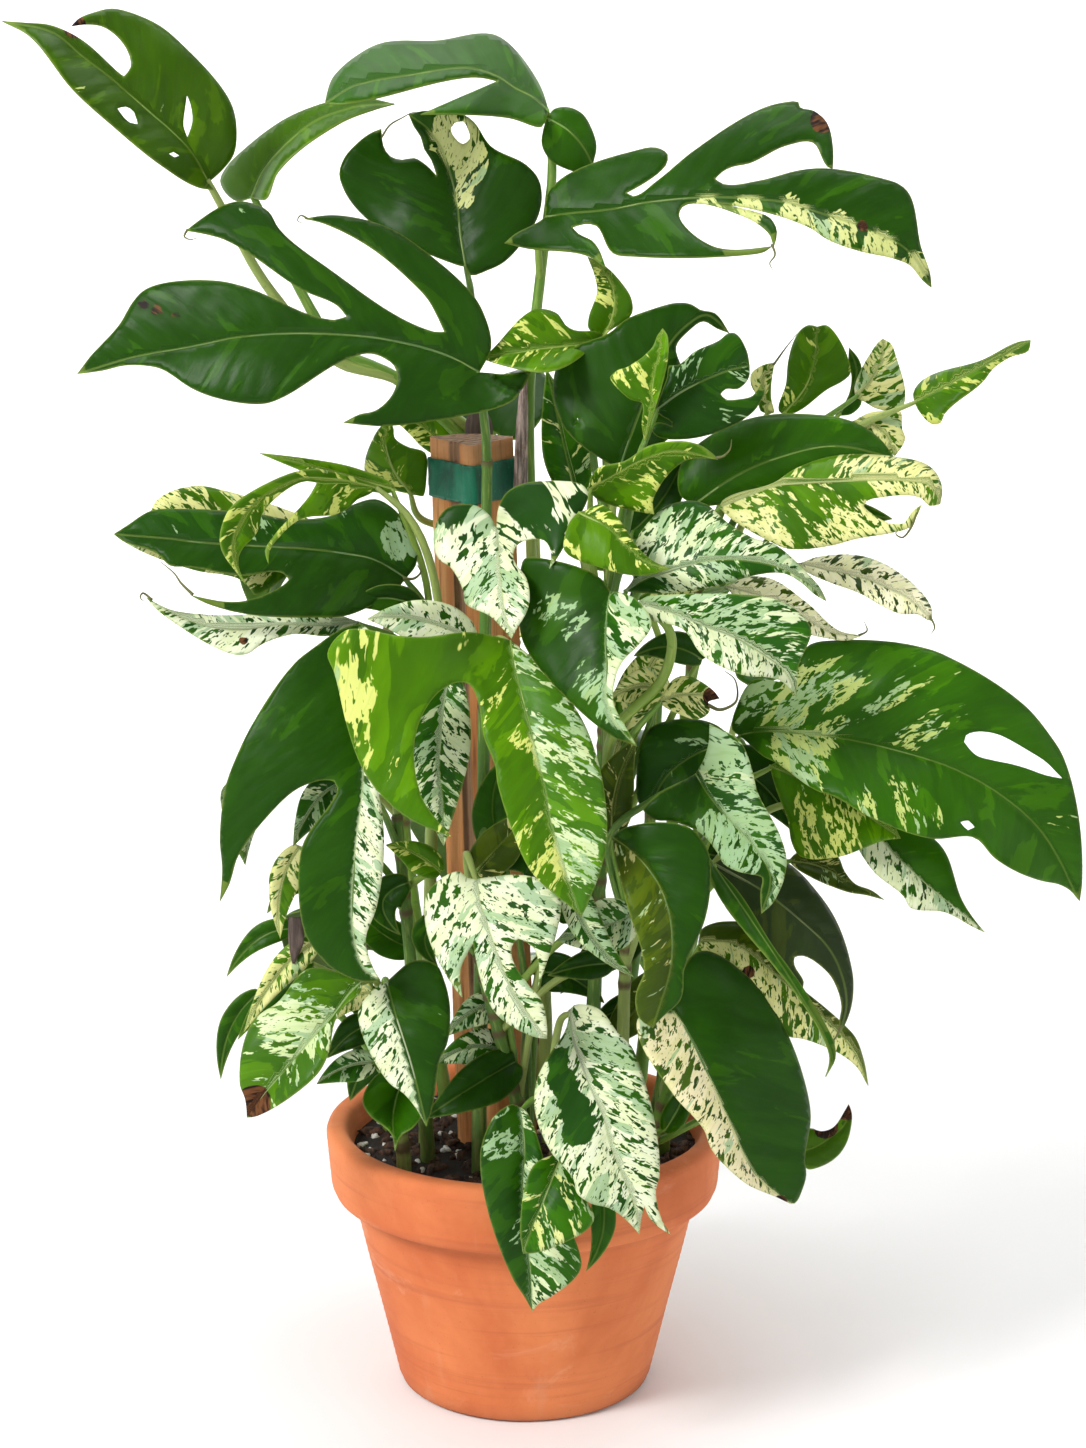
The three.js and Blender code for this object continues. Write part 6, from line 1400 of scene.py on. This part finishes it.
def stakeOutline(grow, grooved, spacing):
    s = stakeSize
    h = s["half"] + grow * math.sqrt(2)
    c, w = s["chamfer"], s["wane"]
    points = [(c, -h + c), (h - c, -c), (h - c, c), (w, h - w), (-w, h - w), (-h + c, c), (-h + c, -c)]
    if grooved:
        left, right = s["grooveLeft"], s["grooveRight"]
        inward = s["groove"] * math.sqrt(0.5)
        points += [(left, -h - left), (left + inward, -h - left + inward),
                   (right + inward, -h - right + inward), (right, -h - right)]
    points.append((-c, -h + c))
    return [Vector((x, y, 0)) for x, y in finer(points + points[:1], spacing)]


def inGroove(point):
    return stakeSize["grooveLeft"] - 0.1 < point.x < stakeSize["grooveEnd"] and point.y < 0


def stakeAt(point, z):
    s = stakeSize
    return Vector((point.x + s["x"] - s["lean"] * (z - s["foot"]), point.y + s["y"], z)) * mm


def frontDrop(point):  # how much lower a level cut or wrap runs at the corner that faces the eye
    return stakeSize["drop"] * clamp(-point.y / stakeSize["half"]) ** 1.2


def makeStake():
    s = stakeSize
    loop = stakeOutline(0, True, s["spacing"])
    count = len(loop)
    points, end, weather = [], [], []
    for i in range(s["rows"] + 1):
        z = s["foot"] + (s["top"] - s["foot"]) * i / s["rows"]
        grey = ease(z, s["weathered"], s["top"])
        for p in loop:
            coarse = noise.noise(Vector((p.x * 1.3, p.y * 1.3, z * 0.03)))
            fibre = coarse + 0.5 * noise.noise(Vector((p.x, p.y, z * 0.6)))
            points.append(stakeAt(p - p.normalized() * s["fibre"] * (0.6 + fibre), z - frontDrop(p) * grey))
            # the groove takes the grey-brown end-wood colour and the strongest greying, so it is darker than
            # the board
            end.append(0.75 if inGroove(p) else 0.0)
            weather.append(2 if inGroove(p) else 0.35 + 0.65 * grey)
    for share in s["endLoops"]:
        for p in loop:
            dip = -0.5 * noise.noise(Vector((p.x * share * 0.4, p.y * share * 0.4, 3)))
            dip -= 0.4 if share < 0.9 else 0
            points.append(stakeAt(p * share, s["top"] + min(dip, 0) - frontDrop(p * share)))
            end.append(1.0)
            weather.append(1.0)
    last = len(points) - count
    faces = rings(len(points) // count, count) + [tuple(range(last, len(points))), tuple(range(count))[::-1]]
    build = Build()
    build.add(points, faces, end=end, weather=weather)
    return settle(build.piece("cedarStake", cedar), "stake")


def makeTapeBand():
    s = tapeSize
    loops = [stakeOutline(grow, False, s["spacing"]) for grow in (s["off"] + s["thick"], s["off"])]
    count = min(len(loop) for loop in loops)
    rows = s["rows"]
    points = []
    for layer, loop in enumerate(loops):
        for i in range(rows + 1):
            z = s["low"] + (s["high"] - s["low"]) * i / rows
            for p in loop[:count]:
                fold = noise.noise(Vector((p.x * 0.5, p.y * 0.5, z * 0.35)))
                fold += 0.6 * noise.noise(Vector((p.x * 1.6, p.y, z * 0.12)))
                drop = 0
                if i in (0, rows):
                    drop = 0.6 * noise.noise(Vector((p.x * 0.12, p.y * 0.12, i // (rows // 2))))
                grow = (s["wrinkle"] * fold if layer == 0 else 0) - (s["dip"] if inGroove(p) else 0)
                points.append(stakeAt(p + p.normalized() * grow, z + drop - frontDrop(p)))
    size = (rows + 1) * count
    faces = rings(rows + 1, count) + [face[::-1] for face in rings(rows + 1, count, size)]
    for i in (0, rows):
        for k in range(count):
            a, b = i * count + k, i * count + (k + 1) % count
            face = (a, a + size, b + size, b)
            faces.append(face if i == 0 else face[::-1])
    build = Build()
    build.add(points, faces)
    return settle(build.piece("plantTape", plantTape), "tape")


makeStake()
makeTapeBand()
print("stake and tape made")


# stage

stageSize = {"floor": 3.7, "bend": 1.2, "bendSteps": 12, "wall": 3.6, "rounds": 96, "lens": 67.13,
             "pitch": 11.34, "shift": 0.0126, "roomLight": 0.5}
lamps = {  # place, target, width and height, watts
    "keyLight": ((-1.75, -1.6, 2.15), (0, 0, 0.42), (0.9, 0.9), 73),
    "fillLight": ((2.1, -1.2, 1.2), (0, 0, 0.4), (1.2, 1.2), 6),
    "topLight": ((0.2, 0.5, 2.5), (0, 0, 0.4), (1.6, 1.6), 22),
    "wallLight": ((0, 2.2, 2.8), (0, 4.8, 0.9), (3.2, 0.8), 130),
}


def addToScene(name, data, where, turn):
    made = bpy.data.objects.new(name, data)
    made.location = where
    made.rotation_euler = turn
    bpy.context.scene.collection.objects.link(made)
    return made


def makeStage():
    s = stageSize
    p = Paint("pale studio sweep")
    speckle = p.grain(p.place(), 3, 3)
    p.finish(p.mix((0.88, 0.88, 0.88, 1), (0.9, 0.9, 0.9, 1), speckle), 0.7 + speckle * 0.2)
    section = [(0.001, 0), (s["floor"], 0)]
    for step in range(1, s["bendSteps"] + 1):
        angle = math.pi / 2 * step / s["bendSteps"]
        section.append((s["floor"] + s["bend"] * math.sin(angle), s["bend"] * (1 - math.cos(angle))))
    section.append((s["floor"] + s["bend"], s["wall"]))
    points, faces = lathe([(r / mm, z / mm) for r, z in section], s["rounds"])
    build = Build()
    build.add(points, [face[::-1] for face in faces])
    build.piece("studioFloor", p.material)
    world = bpy.data.worlds.new("softRoom")
    world.use_nodes = True
    bpy.context.scene.world = world
    background = world.node_tree.nodes["Background"].inputs
    background["Color"].default_value = (1, 1, 1, 1)
    background["Strength"].default_value = s["roomLight"]
    for name, (where, target, size, watts) in lamps.items():
        light = bpy.data.lights.new(name, "AREA")
        light.shape = "RECTANGLE"
        light.size, light.size_y = size
        light.energy = watts
        addToScene(name, light, where, (Vector(target) - Vector(where)).to_track_quat("-Z", "Y").to_euler())
    view = bpy.data.cameras.new("viewCamera")
    view.lens = s["lens"]
    view.shift_x = s["shift"]
    where = (0, -eye["distance"] * mm, eye["height"] * mm)
    camera = addToScene("viewCamera", view, where, (math.radians(90 - s["pitch"]), 0, 0))
    bpy.context.scene.camera = camera
    bpy.context.scene.view_settings.view_transform = "Standard"


makeStage()
print("stage set")
